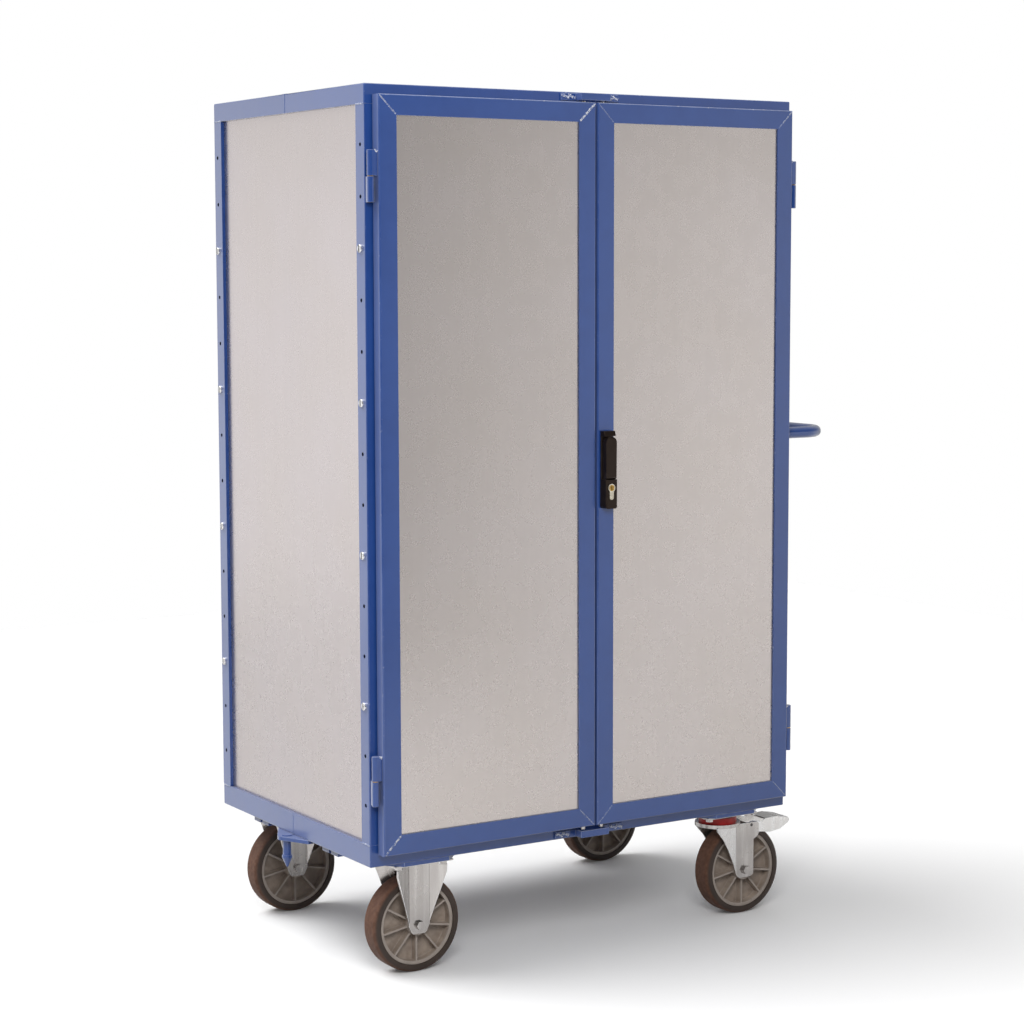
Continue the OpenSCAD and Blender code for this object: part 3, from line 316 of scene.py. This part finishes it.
def turned_metal(name, bright, dull, roughness):
    """A small machined or plated metal piece, with fine scratches."""
    f = Finish(name)
    clouds = f.noise(90, 4)
    scratches = f.noise(1500, 2, (1, 1, 0.1))
    colour = f.mix(f.ramp(clouds + scratches * 0.4, 0.45, 0.95), bright, dull)
    # Pale rounded edges: a painted highlight
    colour = f.mix(f.edge() * 0.5, colour, srgb(246, 243, 236))
    return f.surface({
        "Base Color": colour,
        "Roughness": f.ramp(clouds, 0.3, 0.7, roughness - 0.05, roughness + 0.07),
        "Metallic": 0.9,
        "Normal": f.bump(scratches, 0.00002),
    })


def red_plastic():
    """The red dust ring: moulded plastic, slightly dirty in patches."""
    f = Finish("red_plastic")
    clouds = f.noise(50, 4)
    colour = f.mix(f.ramp(clouds, 0.35, 0.7), srgb(205, 18, 16), srgb(178, 20, 18))
    colour = f.mix(f.edge() * 0.4, colour, srgb(232, 80, 70))
    return f.surface({
        "Base Color": colour,
        "Roughness": f.ramp(clouds, 0.3, 0.7, 0.32, 0.45),
        "Metallic": 0.0,
        "Normal": f.bump(clouds, 0.0001),
    })


BLUE = powder_coat()
END_SHEET = galvanised("galvanised_ends", srgb(208, 200, 200), 0.02)
DOOR_SHEET = galvanised("galvanised_doors", srgb(208, 200, 197), 0.012)
INNER_SHEET = galvanised("galvanised_inside", srgb(206, 202, 198), 0.012)
ZINC = zinc_plate("zinc_plate", srgb(182, 177, 174), srgb(196, 191, 187), srgb(226, 222, 219))
# The pedals' zinc, painted brighter than the rest: a painted highlight
PEDAL_ZINC_PAINTED_HIGHLIGHT = zinc_plate("pedal_zinc_painted_highlight", srgb(232, 229, 226), srgb(242, 240, 238),
                        srgb(250, 250, 249))
# The screws' zinc, painted near white: a painted highlight on the small heads
SCREW = turned_metal("screw_zinc", srgb(244, 244, 246), srgb(222, 222, 226), 0.24)
BLACK = black_plastic()
RED = red_plastic()
BRASS = turned_metal("brass", srgb(196, 158, 84), srgb(160, 126, 66), 0.3)
NICKEL = turned_metal("nickel", srgb(222, 214, 196), srgb(190, 182, 164), 0.25)
BALL_STEEL = turned_metal("ball_steel", srgb(215, 215, 218), srgb(180, 180, 184), 0.15)

# ---------------------------------------------------------------- modelling helpers


def only(piece):
    """Select one piece and nothing else."""
    bpy.ops.object.select_all(action="DESELECT")
    piece.select_set(True)
    bpy.context.view_layer.objects.active = piece


def edit(piece, mode="EDGE"):
    """Go into edit mode on one piece with nothing of it selected."""
    only(piece)
    bpy.ops.object.mode_set(mode="EDIT")
    bpy.ops.mesh.select_mode(type=mode)
    bpy.ops.mesh.select_all(action="DESELECT")


def leave():
    bpy.ops.object.mode_set(mode="OBJECT")


def settle(piece):
    """Put a piece's place and turn into its mesh, so that its object sits at the origin."""
    only(piece)
    bpy.ops.object.transform_apply(location=True, rotation=True, scale=True)


def dress(piece, finish, body):
    """Give a piece its material and its body."""
    piece.data.materials.clear()
    piece.data.materials.append(finish)
    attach(piece, body)
    return piece


def pick_edges(piece, wanted):
    """Select the edges for which wanted(edge, its face angle, its length) is true."""
    leave()
    mesh = bmesh.new()
    mesh.from_mesh(piece.data)
    mesh.edges.ensure_lookup_table()
    chosen = [
        edge.index for edge in mesh.edges
        if len(edge.link_faces) == 2 and wanted(edge, edge.calc_face_angle(0), edge.calc_length())
    ]
    mesh.free()
    for index in chosen:
        piece.data.edges[index].select = True
    bpy.ops.object.mode_set(mode="EDIT")
    return len(chosen)


def mark_faces(piece, attribute, amount, wanted):
    """Leave a number on the corners of the faces for which wanted(face) is true."""
    mesh = piece.data
    if attribute not in mesh.attributes:
        mesh.attributes.new(attribute, "FLOAT", "CORNER")
    marks = mesh.attributes[attribute].data
    for face in mesh.polygons:
        if wanted(face):
            for corner in face.loop_indices:
                marks[corner].value = amount


def smooth(piece, angle=40):
    """Smooth shading on the rounded edges, with the flat faces left flat."""
    only(piece)
    bpy.ops.object.shade_smooth_by_angle(angle=math.radians(angle))
    bpy.ops.object.modifier_add(type="WEIGHTED_NORMAL")
    piece.modifiers[-1].keep_sharp = True
    bpy.ops.object.modifier_apply(modifier=piece.modifiers[-1].name)


def rounded(node, finish, rounds):
    """A CAD node's shape with its edges rounded, standing for the node.

    Each of rounds is a radius, the steps, a tone and wanted: wanted picks the edges as pick_edges
    does.
    Above 0 the tone paints the rounded faces pale, as worn paint and, on most pieces, a painted
    highlight; below 0 it paints shade there, that dark.
    """
    source = frame["nodes"][node]
    piece = bpy.data.objects.new(node + "_rounded", source.data.copy())
    bpy.context.scene.collection.objects.link(piece)
    only(piece)
    bpy.ops.mesh.customdata_custom_splitnormals_clear()
    piece.data.materials.clear()
    for slot_number in range(2):
        piece.data.materials.append(finish)
    edit(piece)
    bpy.ops.mesh.select_all(action="SELECT")
    bpy.ops.mesh.remove_doubles(threshold=0.00001)
    bpy.ops.mesh.dissolve_limited(angle_limit=math.radians(0.5))
    for radius, steps, edge_tone, wanted in rounds:
        bpy.ops.mesh.select_all(action="DESELECT")
        if pick_edges(piece, wanted):
            # The bevel puts its new faces in the second material slot, which tells them apart
            bpy.ops.mesh.bevel(offset=radius, segments=steps, affect="EDGES", clamp_overlap=False,
                               material=1)
            leave()
            mark_faces(piece, "edge" if edge_tone > 0 else "hollow", abs(edge_tone),
                       lambda face: face.material_index == 1)
            for face in piece.data.polygons:
                face.material_index = 0
            bpy.ops.object.mode_set(mode="EDIT")
    leave()
    smooth(piece)
    dress(piece, finish, BODY_OF[node])
    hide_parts(node)
    return piece


def long_edges(least, angle=35):
    """The sharp edges that are at least so long."""
    return lambda edge, bend, length: bend > math.radians(angle) and length > least


def finish_node(node, finish):
    """Give a CAD node that keeps its own shape its material."""
    piece = frame["nodes"][node]
    if not piece.material_slots:
        piece.data.materials.append(finish)
    for material_slot in piece.material_slots:
        material_slot.material = finish


# ---------------------------------------------------------------- camera, light and floor

# The view of the photograph: where the camera stands, and how it is turned
CAMERA_PLACE = (-2.7606, -4.3666, 1.4256)
CAMERA_TURN = 31.90
CAMERA_DIP = 5.86
CAMERA_ROLL = -0.138
LENS = 83.09


def make_camera():
    data = bpy.data.cameras.new("camera")
    data.lens = LENS
    data.sensor_width = 36
    data.clip_end = 200
    camera = bpy.data.objects.new("camera", data)
    bpy.context.scene.collection.objects.link(camera)
    turn = (Matrix.Rotation(math.radians(-CAMERA_TURN), 4, "Z")
            @ Matrix.Rotation(math.radians(90 - CAMERA_DIP), 4, "X")
            @ Matrix.Rotation(math.radians(CAMERA_ROLL), 4, "Z"))
    camera.matrix_world = Matrix.Translation(CAMERA_PLACE) @ turn
    bpy.context.scene.camera = camera


# How bright the studio round the cart is
DIM_ROOM = 0.06
WALL_BEHIND = 0.22
CEILING = 0.45
LEFT_WALL = 0.15
LEFT_SHEET = 0.85
RIGHT_WALL = 1.1


def make_world():
    """A studio: bright overhead, a bright sheet low behind on the left, a pale wall low on the
    right in front, a grey one on the left in front, and a dim room elsewhere."""
    world = bpy.data.worlds.new("studio")
    world.use_nodes = True
    bpy.context.scene.world = world
    f = Finish("studio", world.node_tree)
    x, y, z = f.axes(f.node("TexCoord", {}, {}, "Generated"))
    behind = f.ramp(y, -0.3, 0.35)
    overhead = f.ramp(z, 0.3, 0.75)
    low = f.ramp(z * -1, -0.24, -0.02)
    left_sheet = f.ramp(x * -1, 0.0, 0.4) * behind
    right_wall = f.ramp(x, 0.38, 0.58) * (1 - behind)
    left_wall = f.ramp(x * -1, 0.1, 0.5) * (1 - behind)
    strength = (DIM_ROOM + behind * WALL_BEHIND + overhead * CEILING + left_wall * LEFT_WALL
                + low * (left_sheet * LEFT_SHEET + right_wall * RIGHT_WALL))
    straight = f.node("LightPath", {}, {}, "Is Camera Ray")
    through = f.node("LightPath", {}, {}, "Is Transmission Ray")
    seen = f.node("Math", {"operation": "MAXIMUM"}, {0: straight, 1: through})
    light = f.node("Background", {}, {"Color": (1, 1, 1, 1), "Strength": strength})
    white = f.node("Background", {}, {"Color": (1, 1, 1, 1), "Strength": 1.0})
    both = f.node("MixShader", {}, {0: seen, 1: light, 2: white})
    f.node("OutputWorld", {}, {"Surface": both}, None)


def add_light(name, kind, place, towards, mirrored, **settings):
    """A lamp; mirrored says whether the metal sheets show its reflection."""
    data = bpy.data.lights.new(name, kind)
    for key, value in settings.items():
        setattr(data, key, value)
    lamp = bpy.data.objects.new(name, data)
    lamp.visible_camera = False
    lamp.visible_glossy = mirrored
    bpy.context.scene.collection.objects.link(lamp)
    turn = (Vector(towards) - Vector(place)).to_track_quat("-Z", "Y").to_matrix().to_4x4()
    lamp.matrix_world = Matrix.Translation(place) @ turn


MIDDLE = (0, 0, 0.9)


def make_lights():
    # The main light stands behind on the left and draws the shadow out to the right
    add_light("main_light", "SUN", (-2.4, 1.9, 4.8), (0, 0, 0), True, energy=2.2,
              angle=math.radians(42))
    # A large soft box in front on the left, which the doors' right edge gets less of. In the
    # photograph nothing glares in the doors
    add_light("front_box", "AREA", (-1.7, -2.9, 2.4), MIDDLE, False, energy=60,
              shape="SQUARE", size=1.4)


FLOOR_SIZE = 8
FLOOR_MIDDLE = (0, 0.6, 0)
# The floor's grey as the camera sees it, as metal mirrors it, and for the light that it throws up
SEEN_GREY = (0.92, 0.92, 0.92, 1)
MIRRORED_GREY = (0.74, 0.74, 0.74, 1)
BOUNCED_GREY = (0.35, 0.35, 0.35, 1)


def make_floor():
    bpy.ops.object.select_all(action="DESELECT")
    bpy.ops.mesh.primitive_plane_add(size=FLOOR_SIZE, location=FLOOR_MIDDLE)
    floor = bpy.context.object
    floor.name = "floor"
    f = Finish("floor_white")
    straight = f.node("LightPath", {}, {}, "Is Camera Ray")
    glossy = f.node("LightPath", {}, {}, "Is Glossy Ray")
    seen = f.node("Math", {"operation": "MAXIMUM"}, {0: straight, 1: glossy})
    bounced = f.node("LightPath", {}, {}, "Is Diffuse Ray")
    grey = f.mix(bounced, f.mix(glossy, SEEN_GREY, MIRRORED_GREY), BOUNCED_GREY)
    matt = f.node("BsdfDiffuse", {}, {"Color": grey})
    lift = f.node("Emission", {}, {"Color": (1, 1, 1, 1), "Strength": seen * 0.03})
    both = f.node("AddShader", {}, {0: matt, 1: lift})
    f.node("OutputMaterial", {}, {"Surface": both}, None)
    floor.data.materials.append(f.material)


make_camera()
make_world()
make_lights()
make_floor()

# ---------------------------------------------------------------- the cart's own pieces

# How pale the surface is painted on soft bends, on plain edges, on sharp edges and on bare metal,
# as worn paint and painted highlight, and how dark the painted shade in the folds of bare metal
# lies
SOFT_WEAR_AND_HIGHLIGHT = 0.12
WEAR_AND_HIGHLIGHT = 0.4
HARD_WEAR_AND_HIGHLIGHT = 0.8
BARE_WEAR_AND_HIGHLIGHT = 1.0
FOLD_SHADE = -0.6

# The radii of the edges, and the length below which an edge stays sharp
BODY_ROUND = 2.5 * MM
DOOR_ROUND = 3 * MM
SHEET_ROUND = 0.6 * MM
HINGE_ROUND = 0.7 * MM
BAR_ROUND = 0.8 * MM
PLATE_ROUND = 0.8 * MM
HUB_ROUND = 0.8 * MM
SCREW_ROUND = 1.6 * MM
HOUSING_ROUND = 1.2 * MM
LEVER_ROUND = 1.5 * MM
SHORT = 5 * MM

SQUARE_MM = MM * MM
# The faces in the wall of a screw hole are smaller than this
HOLE_FACE = 5 * SQUARE_MM
# The wings of a fork's legs are larger than this
WING_FACE = 100 * SQUARE_MM
# How far below the top of a frame its upper rounded edges reach
TOP_EDGE = 3 * MM

upright_lo, upright_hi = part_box("corner_uprights")
BODY_LO = Vector((upright_lo.x, upright_lo.y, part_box("base_frame")[0].z))
BODY_HI = Vector((upright_hi.x, upright_hi.y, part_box("top_frame")[1].z))


def body_corner(edge, bend, length):
    """The outer edges of the body, where two of its faces meet."""
    middle = (edge.verts[0].co + edge.verts[1].co) / 2
    near = 0.2 * MM
    faces = sum(
        1 for axis in range(3)
        if min(abs(middle[axis] - BODY_LO[axis]), abs(middle[axis] - BODY_HI[axis])) < near
    )
    return faces >= 2 and bend > 0.6 and length > SHORT


for node in ("base_frame", "top_frame", "corner_uprights"):
    piece = rounded(node, BLUE, [(BODY_ROUND, 4, SOFT_WEAR_AND_HIGHLIGHT, body_corner),
                                 (SHEET_ROUND, 2, WEAR_AND_HIGHLIGHT, long_edges(SHORT))])
    if node == "corner_uprights":
        # The walls of the screw holes, painted dark as shade
        mark_faces(piece, "hollow", 1.0,
                   lambda face: abs(face.normal.x) < 0.1 and face.area < HOLE_FACE)
    if node == "top_frame":
        # Light from above draws a pale line along the upper edges
        mark_faces(piece, "edge", 0.7,
                   lambda face: 0.2 < face.normal.z < 0.95
                   and face.center.z > BODY_HI.z - TOP_EDGE)

for node in ("underframe_bars", "tow_plate", "castor_mounting_plates", "rod_keepers"):
    piece = rounded(node, BLUE, [(BAR_ROUND, 2, HARD_WEAR_AND_HIGHLIGHT, long_edges(SHORT))])
    if node == "underframe_bars":
        # Their sawn ends lie in the shade of the rail above
        mark_faces(piece, "hollow", 0.6, lambda face: abs(face.normal.x) > 0.9)
for node in ("hinge_sockets", "left_hinge_leaves", "right_hinge_leaves"):
    rounded(node, BLUE, [(HINGE_ROUND, 2, HARD_WEAR_AND_HIGHLIGHT, long_edges(0.5 * MM, 50))])


# Shorter edges belong to a door's holes and corners, not to its rails
RAIL_LENGTH = 50 * MM


def outer_front(lo, hi):
    """The outer edges of a door's front, between the corners lo and hi of the door."""
    near = 0.5 * MM

    def wanted(edge, bend, length):
        middle = (edge.verts[0].co + edge.verts[1].co) / 2
        at_rim = min(abs(middle.x - lo.x), abs(middle.x - hi.x), abs(middle.z - lo.z),
                     abs(middle.z - hi.z)) < near
        return bend > 0.6 and at_rim and length > RAIL_LENGTH and abs(middle.y - lo.y) < near
    return wanted


for node in ("left_door_frame", "right_door_frame"):
    lo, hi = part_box(node)
    piece = rounded(node, BLUE, [(DOOR_ROUND, 4, SOFT_WEAR_AND_HIGHLIGHT, outer_front(lo, hi)),
                                 (SHEET_ROUND, 2, WEAR_AND_HIGHLIGHT, long_edges(RAIL_LENGTH))])
    # The same pale line, a painted highlight, on the upper edge of its front
    mark_faces(piece, "edge", 0.9,
               lambda face: face.normal.z > 0.2 and face.center.z > hi.z - TOP_EDGE
               and face.normal.y < -0.2)


def fold_line(edge, bend, length):
    """The folds between the wide faces of a bent plate."""
    widths = min(face.calc_area() for face in edge.link_faces)
    return 0.08 < bend < 0.6 and length > 20 * MM and widths > 300 * SQUARE_MM


for node in ("fixed_castor_brackets", "swivel_castor_plates", "front_swivel_fork",
             "rear_swivel_fork", "front_brake_pedal", "rear_brake_pedal"):
    piece = rounded(node, PEDAL_ZINC_PAINTED_HIGHLIGHT if "pedal" in node else ZINC,
                    [(PLATE_ROUND, 2, BARE_WEAR_AND_HIGHLIGHT, long_edges(SHORT)),
                     (SHEET_ROUND, 2, FOLD_SHADE, fold_line)])
    if "fork" in node:
        # The turned-out wings of its legs catch more light
        mark_faces(piece, "edge", 0.5, lambda face: abs(face.normal.y) > 0.8
                   and 0.05 < abs(face.normal.x) < 0.5 and face.area > WING_FACE)
    if "pedal" in node:
        # The ends of its pivot, where they sit in the fork's legs, get painted shade
        lo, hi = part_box(node)
        mark_faces(piece, "hollow", 1.0,
                   lambda face: min(face.center.y - lo.y, hi.y - face.center.y) < 0.1 * MM)


HEAD_HEIGHT = BODY_LO.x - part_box("shelf_screws")[0].x


def screw_rim(edge, bend, length):
    """The front edges of the screws' heads, outside the body's two ends."""
    middle = (edge.verts[0].co + edge.verts[1].co) / 2
    proud = max(BODY_LO.x - middle.x, middle.x - BODY_HI.x)
    return proud > HEAD_HEIGHT - 0.1 * MM and bend > 0.6


# Pale rims on the screws' heads: a painted highlight
rounded("shelf_screws", SCREW, [(SCREW_ROUND, 4, BARE_WEAR_AND_HIGHLIGHT, screw_rim)])

for wheel in ("front_fixed", "rear_fixed", "front_swivel", "rear_swivel"):
    lo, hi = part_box(wheel + "_hub")
    hub_finish = moulded_hub(wheel + "_nylon", (lo + hi) / 2, (hi.y - lo.y) / 2)
    rounded(wheel + "_hub", hub_finish,
            [(HUB_ROUND, 2, BARE_WEAR_AND_HIGHLIGHT, long_edges(0.9 * MM, 50))])
    lo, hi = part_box(wheel + "_tyre")
    finish_node(wheel + "_tyre", tyre_rubber(wheel + "_rubber", (lo + hi) / 2, (hi.x - lo.x) / 2))

HAND_WEAR = 0.3
rounded("lock_housing", BLACK, [(HOUSING_ROUND, 3, HAND_WEAR, long_edges(SHORT))])
rounded("lock_lever", BLACK, [(LEVER_ROUND, 3, HAND_WEAR, long_edges(SHORT))])

# ---------------------------------------------------------------- welds

WELD_PITCH = 1.7 * MM
LUMPS = (1.15, 0.8, 1.0, 1.35, 0.85, 1.1, 0.75)


def weld(name, body, start, end, radius, sunk, outward, bead=0.5):
    """A lumpy weld along a seam: a small ring drawn out step by step, swelling at each ripple.

    Its middle line lies sunk below the surface whose outward normal is given; bead says how much
    of it is painted with pale glints, a painted highlight.
    """
    start = Vector(start) - Vector(outward) * sunk
    along = Vector(end) - Vector(outward) * sunk - start
    steps = max(4, round(along.length / WELD_PITCH))
    step = along / steps
    bpy.ops.object.select_all(action="DESELECT")
    bpy.ops.mesh.primitive_circle_add(vertices=10, radius=radius, fill_type="NGON", location=start,
                                      rotation=along.to_track_quat("Z", "Y").to_euler())
    piece = bpy.context.object
    piece.name = name
    settle(piece)
    bpy.ops.object.mode_set(mode="EDIT")
    bpy.ops.mesh.select_mode(type="FACE")
    bpy.ops.mesh.select_all(action="SELECT")
    size = 1.0
    for number in range(1, steps + 1):
        bpy.ops.mesh.extrude_region_move(TRANSFORM_OT_translate={"value": step})
        swell = LUMPS[number % len(LUMPS)] * (0.4 if number == steps else 1.0)
        bpy.ops.transform.resize(value=[swell / size] * 3, center_override=start + step * number)
        size = swell
    bpy.ops.mesh.select_all(action="SELECT")
    bpy.ops.mesh.normals_make_consistent(inside=False)
    leave()
    smooth(piece, 60)
    # Painted highlight: the whole bead paler, and pale glints on it as bead says
    mark_faces(piece, "edge", 0.5, lambda face: True)
    mark_faces(piece, "bead", bead, lambda face: True)
    return dress(piece, BLUE, body)


def corners(lo, hi, inset):
    """The four corners of a door or frame face, each with the way inwards from it."""
    for x, to_x in ((lo.x, 1), (hi.x, -1)):
        for z, to_z in ((lo.z, 1), (hi.z, -1)):
            yield Vector((x + to_x * inset, 0, z + to_z * inset)), Vector((to_x, 0, to_z))


FORWARD = Vector((0, -1, 0))
LEFTWARD = Vector((-1, 0, 0))
UPWARD = Vector((0, 0, 1))

# The mitres of the door frames' front flanges: two of the left door's are rough.
# The numbers set each bead's size and how much painted highlight glints on it
STILE = 40 * MM
OUTER_GAP = 2.5 * MM
INNER_GAP = 1 * MM
for side, beads in (("left", (0.9, 0.4, 0.3, 1.0)), ("right", (0.2, 0.15, 0.2, 0.4))):
    lo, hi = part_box(side + "_door_frame")
    seams = zip(corners(lo, hi, OUTER_GAP), beads)
    for number, ((corner, inwards), bead) in enumerate(seams, 1):
        corner.y = lo.y
        weld(f"{side}_door_mitre_weld_{number}", side + "_door", corner,
             corner + inwards * (STILE - OUTER_GAP - INNER_GAP), (1.5 + bead) * MM, 1.1 * MM,
             FORWARD, bead)

# The joints between uprights and rails, on the end faces
FLANGE = 35 * MM
SIDE_GAP = 2 * MM
number = 0
for z in (upright_lo.z, upright_hi.z):
    for x, outward in ((BODY_LO.x, LEFTWARD), (BODY_HI.x, -LEFTWARD)):
        for y0, y1 in ((BODY_LO.y + SIDE_GAP, BODY_LO.y + FLANGE),
                       (BODY_HI.y - FLANGE, BODY_HI.y - SIDE_GAP)):
            number += 1
            weld(f"upright_side_weld_{number}", "cart", (x, y0, z), (x, y1, z), 1.8 * MM,
                 0.9 * MM, outward, 0.6)

# Both keepers' straps: two sloping, overlapping runs on either side of the loop
STRAP_HEIGHT = 14 * MM
UPPER_STRAP = 140 * MM
LOOP_REACH = 23 * MM
WELDED = 35 * MM
RUNS = ((1 * MM, 20 * MM), (17 * MM, 34 * MM))
lo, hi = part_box("rod_keepers")
middle_x = (lo.x + hi.x) / 2
strap_front = lo.y + LOOP_REACH
number = 0
for strap, z in ((UPPER_STRAP, hi.z - STRAP_HEIGHT / 2), (hi.x - lo.x, lo.z + STRAP_HEIGHT / 2)):
    for first in (middle_x - strap / 2, middle_x + strap / 2 - WELDED):
        for start, end in RUNS:
            number += 1
            weld(f"keeper_weld_{number}", "cart", (first + start, strap_front, z + 4 * MM),
                 (first + end, strap_front, z - 3 * MM), 3 * MM, 1.1 * MM, FORWARD, 1.0)

# The tops of the hinge leaves, at the doors' edges
LEAF_HEIGHT = 49.2 * MM
number = 0
for side, way, reach in (("left", 1, 13.25 * MM), ("right", -1, 12.75 * MM)):
    lo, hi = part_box(side + "_hinge_leaves")
    x = (lo.x if side == "left" else hi.x) + way * reach
    y = lo.y + 1.5 * MM
    for z in (lo.z + LEAF_HEIGHT, hi.z):
        number += 1
        weld(f"hinge_weld_{number}", side + "_door", (x, y, z),
             (x + way * 10 * MM, y, z - 5 * MM), 2.6 * MM, 0.8 * MM, UPWARD, 1.0)

# ---------------------------------------------------------------- pieces left as they are

for node in ("left_end_panel", "right_end_panel"):
    finish_node(node, END_SHEET)
for node in ("left_door_panel", "right_door_panel"):
    finish_node(node, DOOR_SHEET)
for node in ("floor_panel", "roof_panel", "back_panel", "shelves", "shelf_supports"):
    finish_node(node, INNER_SHEET)
for node in ("push_handle", "tow_pin"):
    finish_node(node, BLUE)
for node in ("hinge_pins", "castor_bolts", "fixed_castor_axles",
             "front_swivel_axle", "rear_swivel_axle", "swivel_king_bolts", "left_bolt_guides",
             "left_upper_bolt", "left_lower_bolt", "lock_case", "rod_guides", "lock_spindle",
             "upper_rod", "lower_rod"):
    finish_node(node, ZINC)
for node in ("front_swivel_ring", "rear_swivel_ring"):
    finish_node(node, RED)
finish_node("hinge_washers", BRASS)
finish_node("lock_cylinder", NICKEL)
finish_node("cylinder_plug", BRASS)
finish_node("swivel_bearing_balls", BALL_STEEL)

# ---------------------------------------------------------------- ending

view = bpy.context.scene.view_settings
view.view_transform = "Standard"
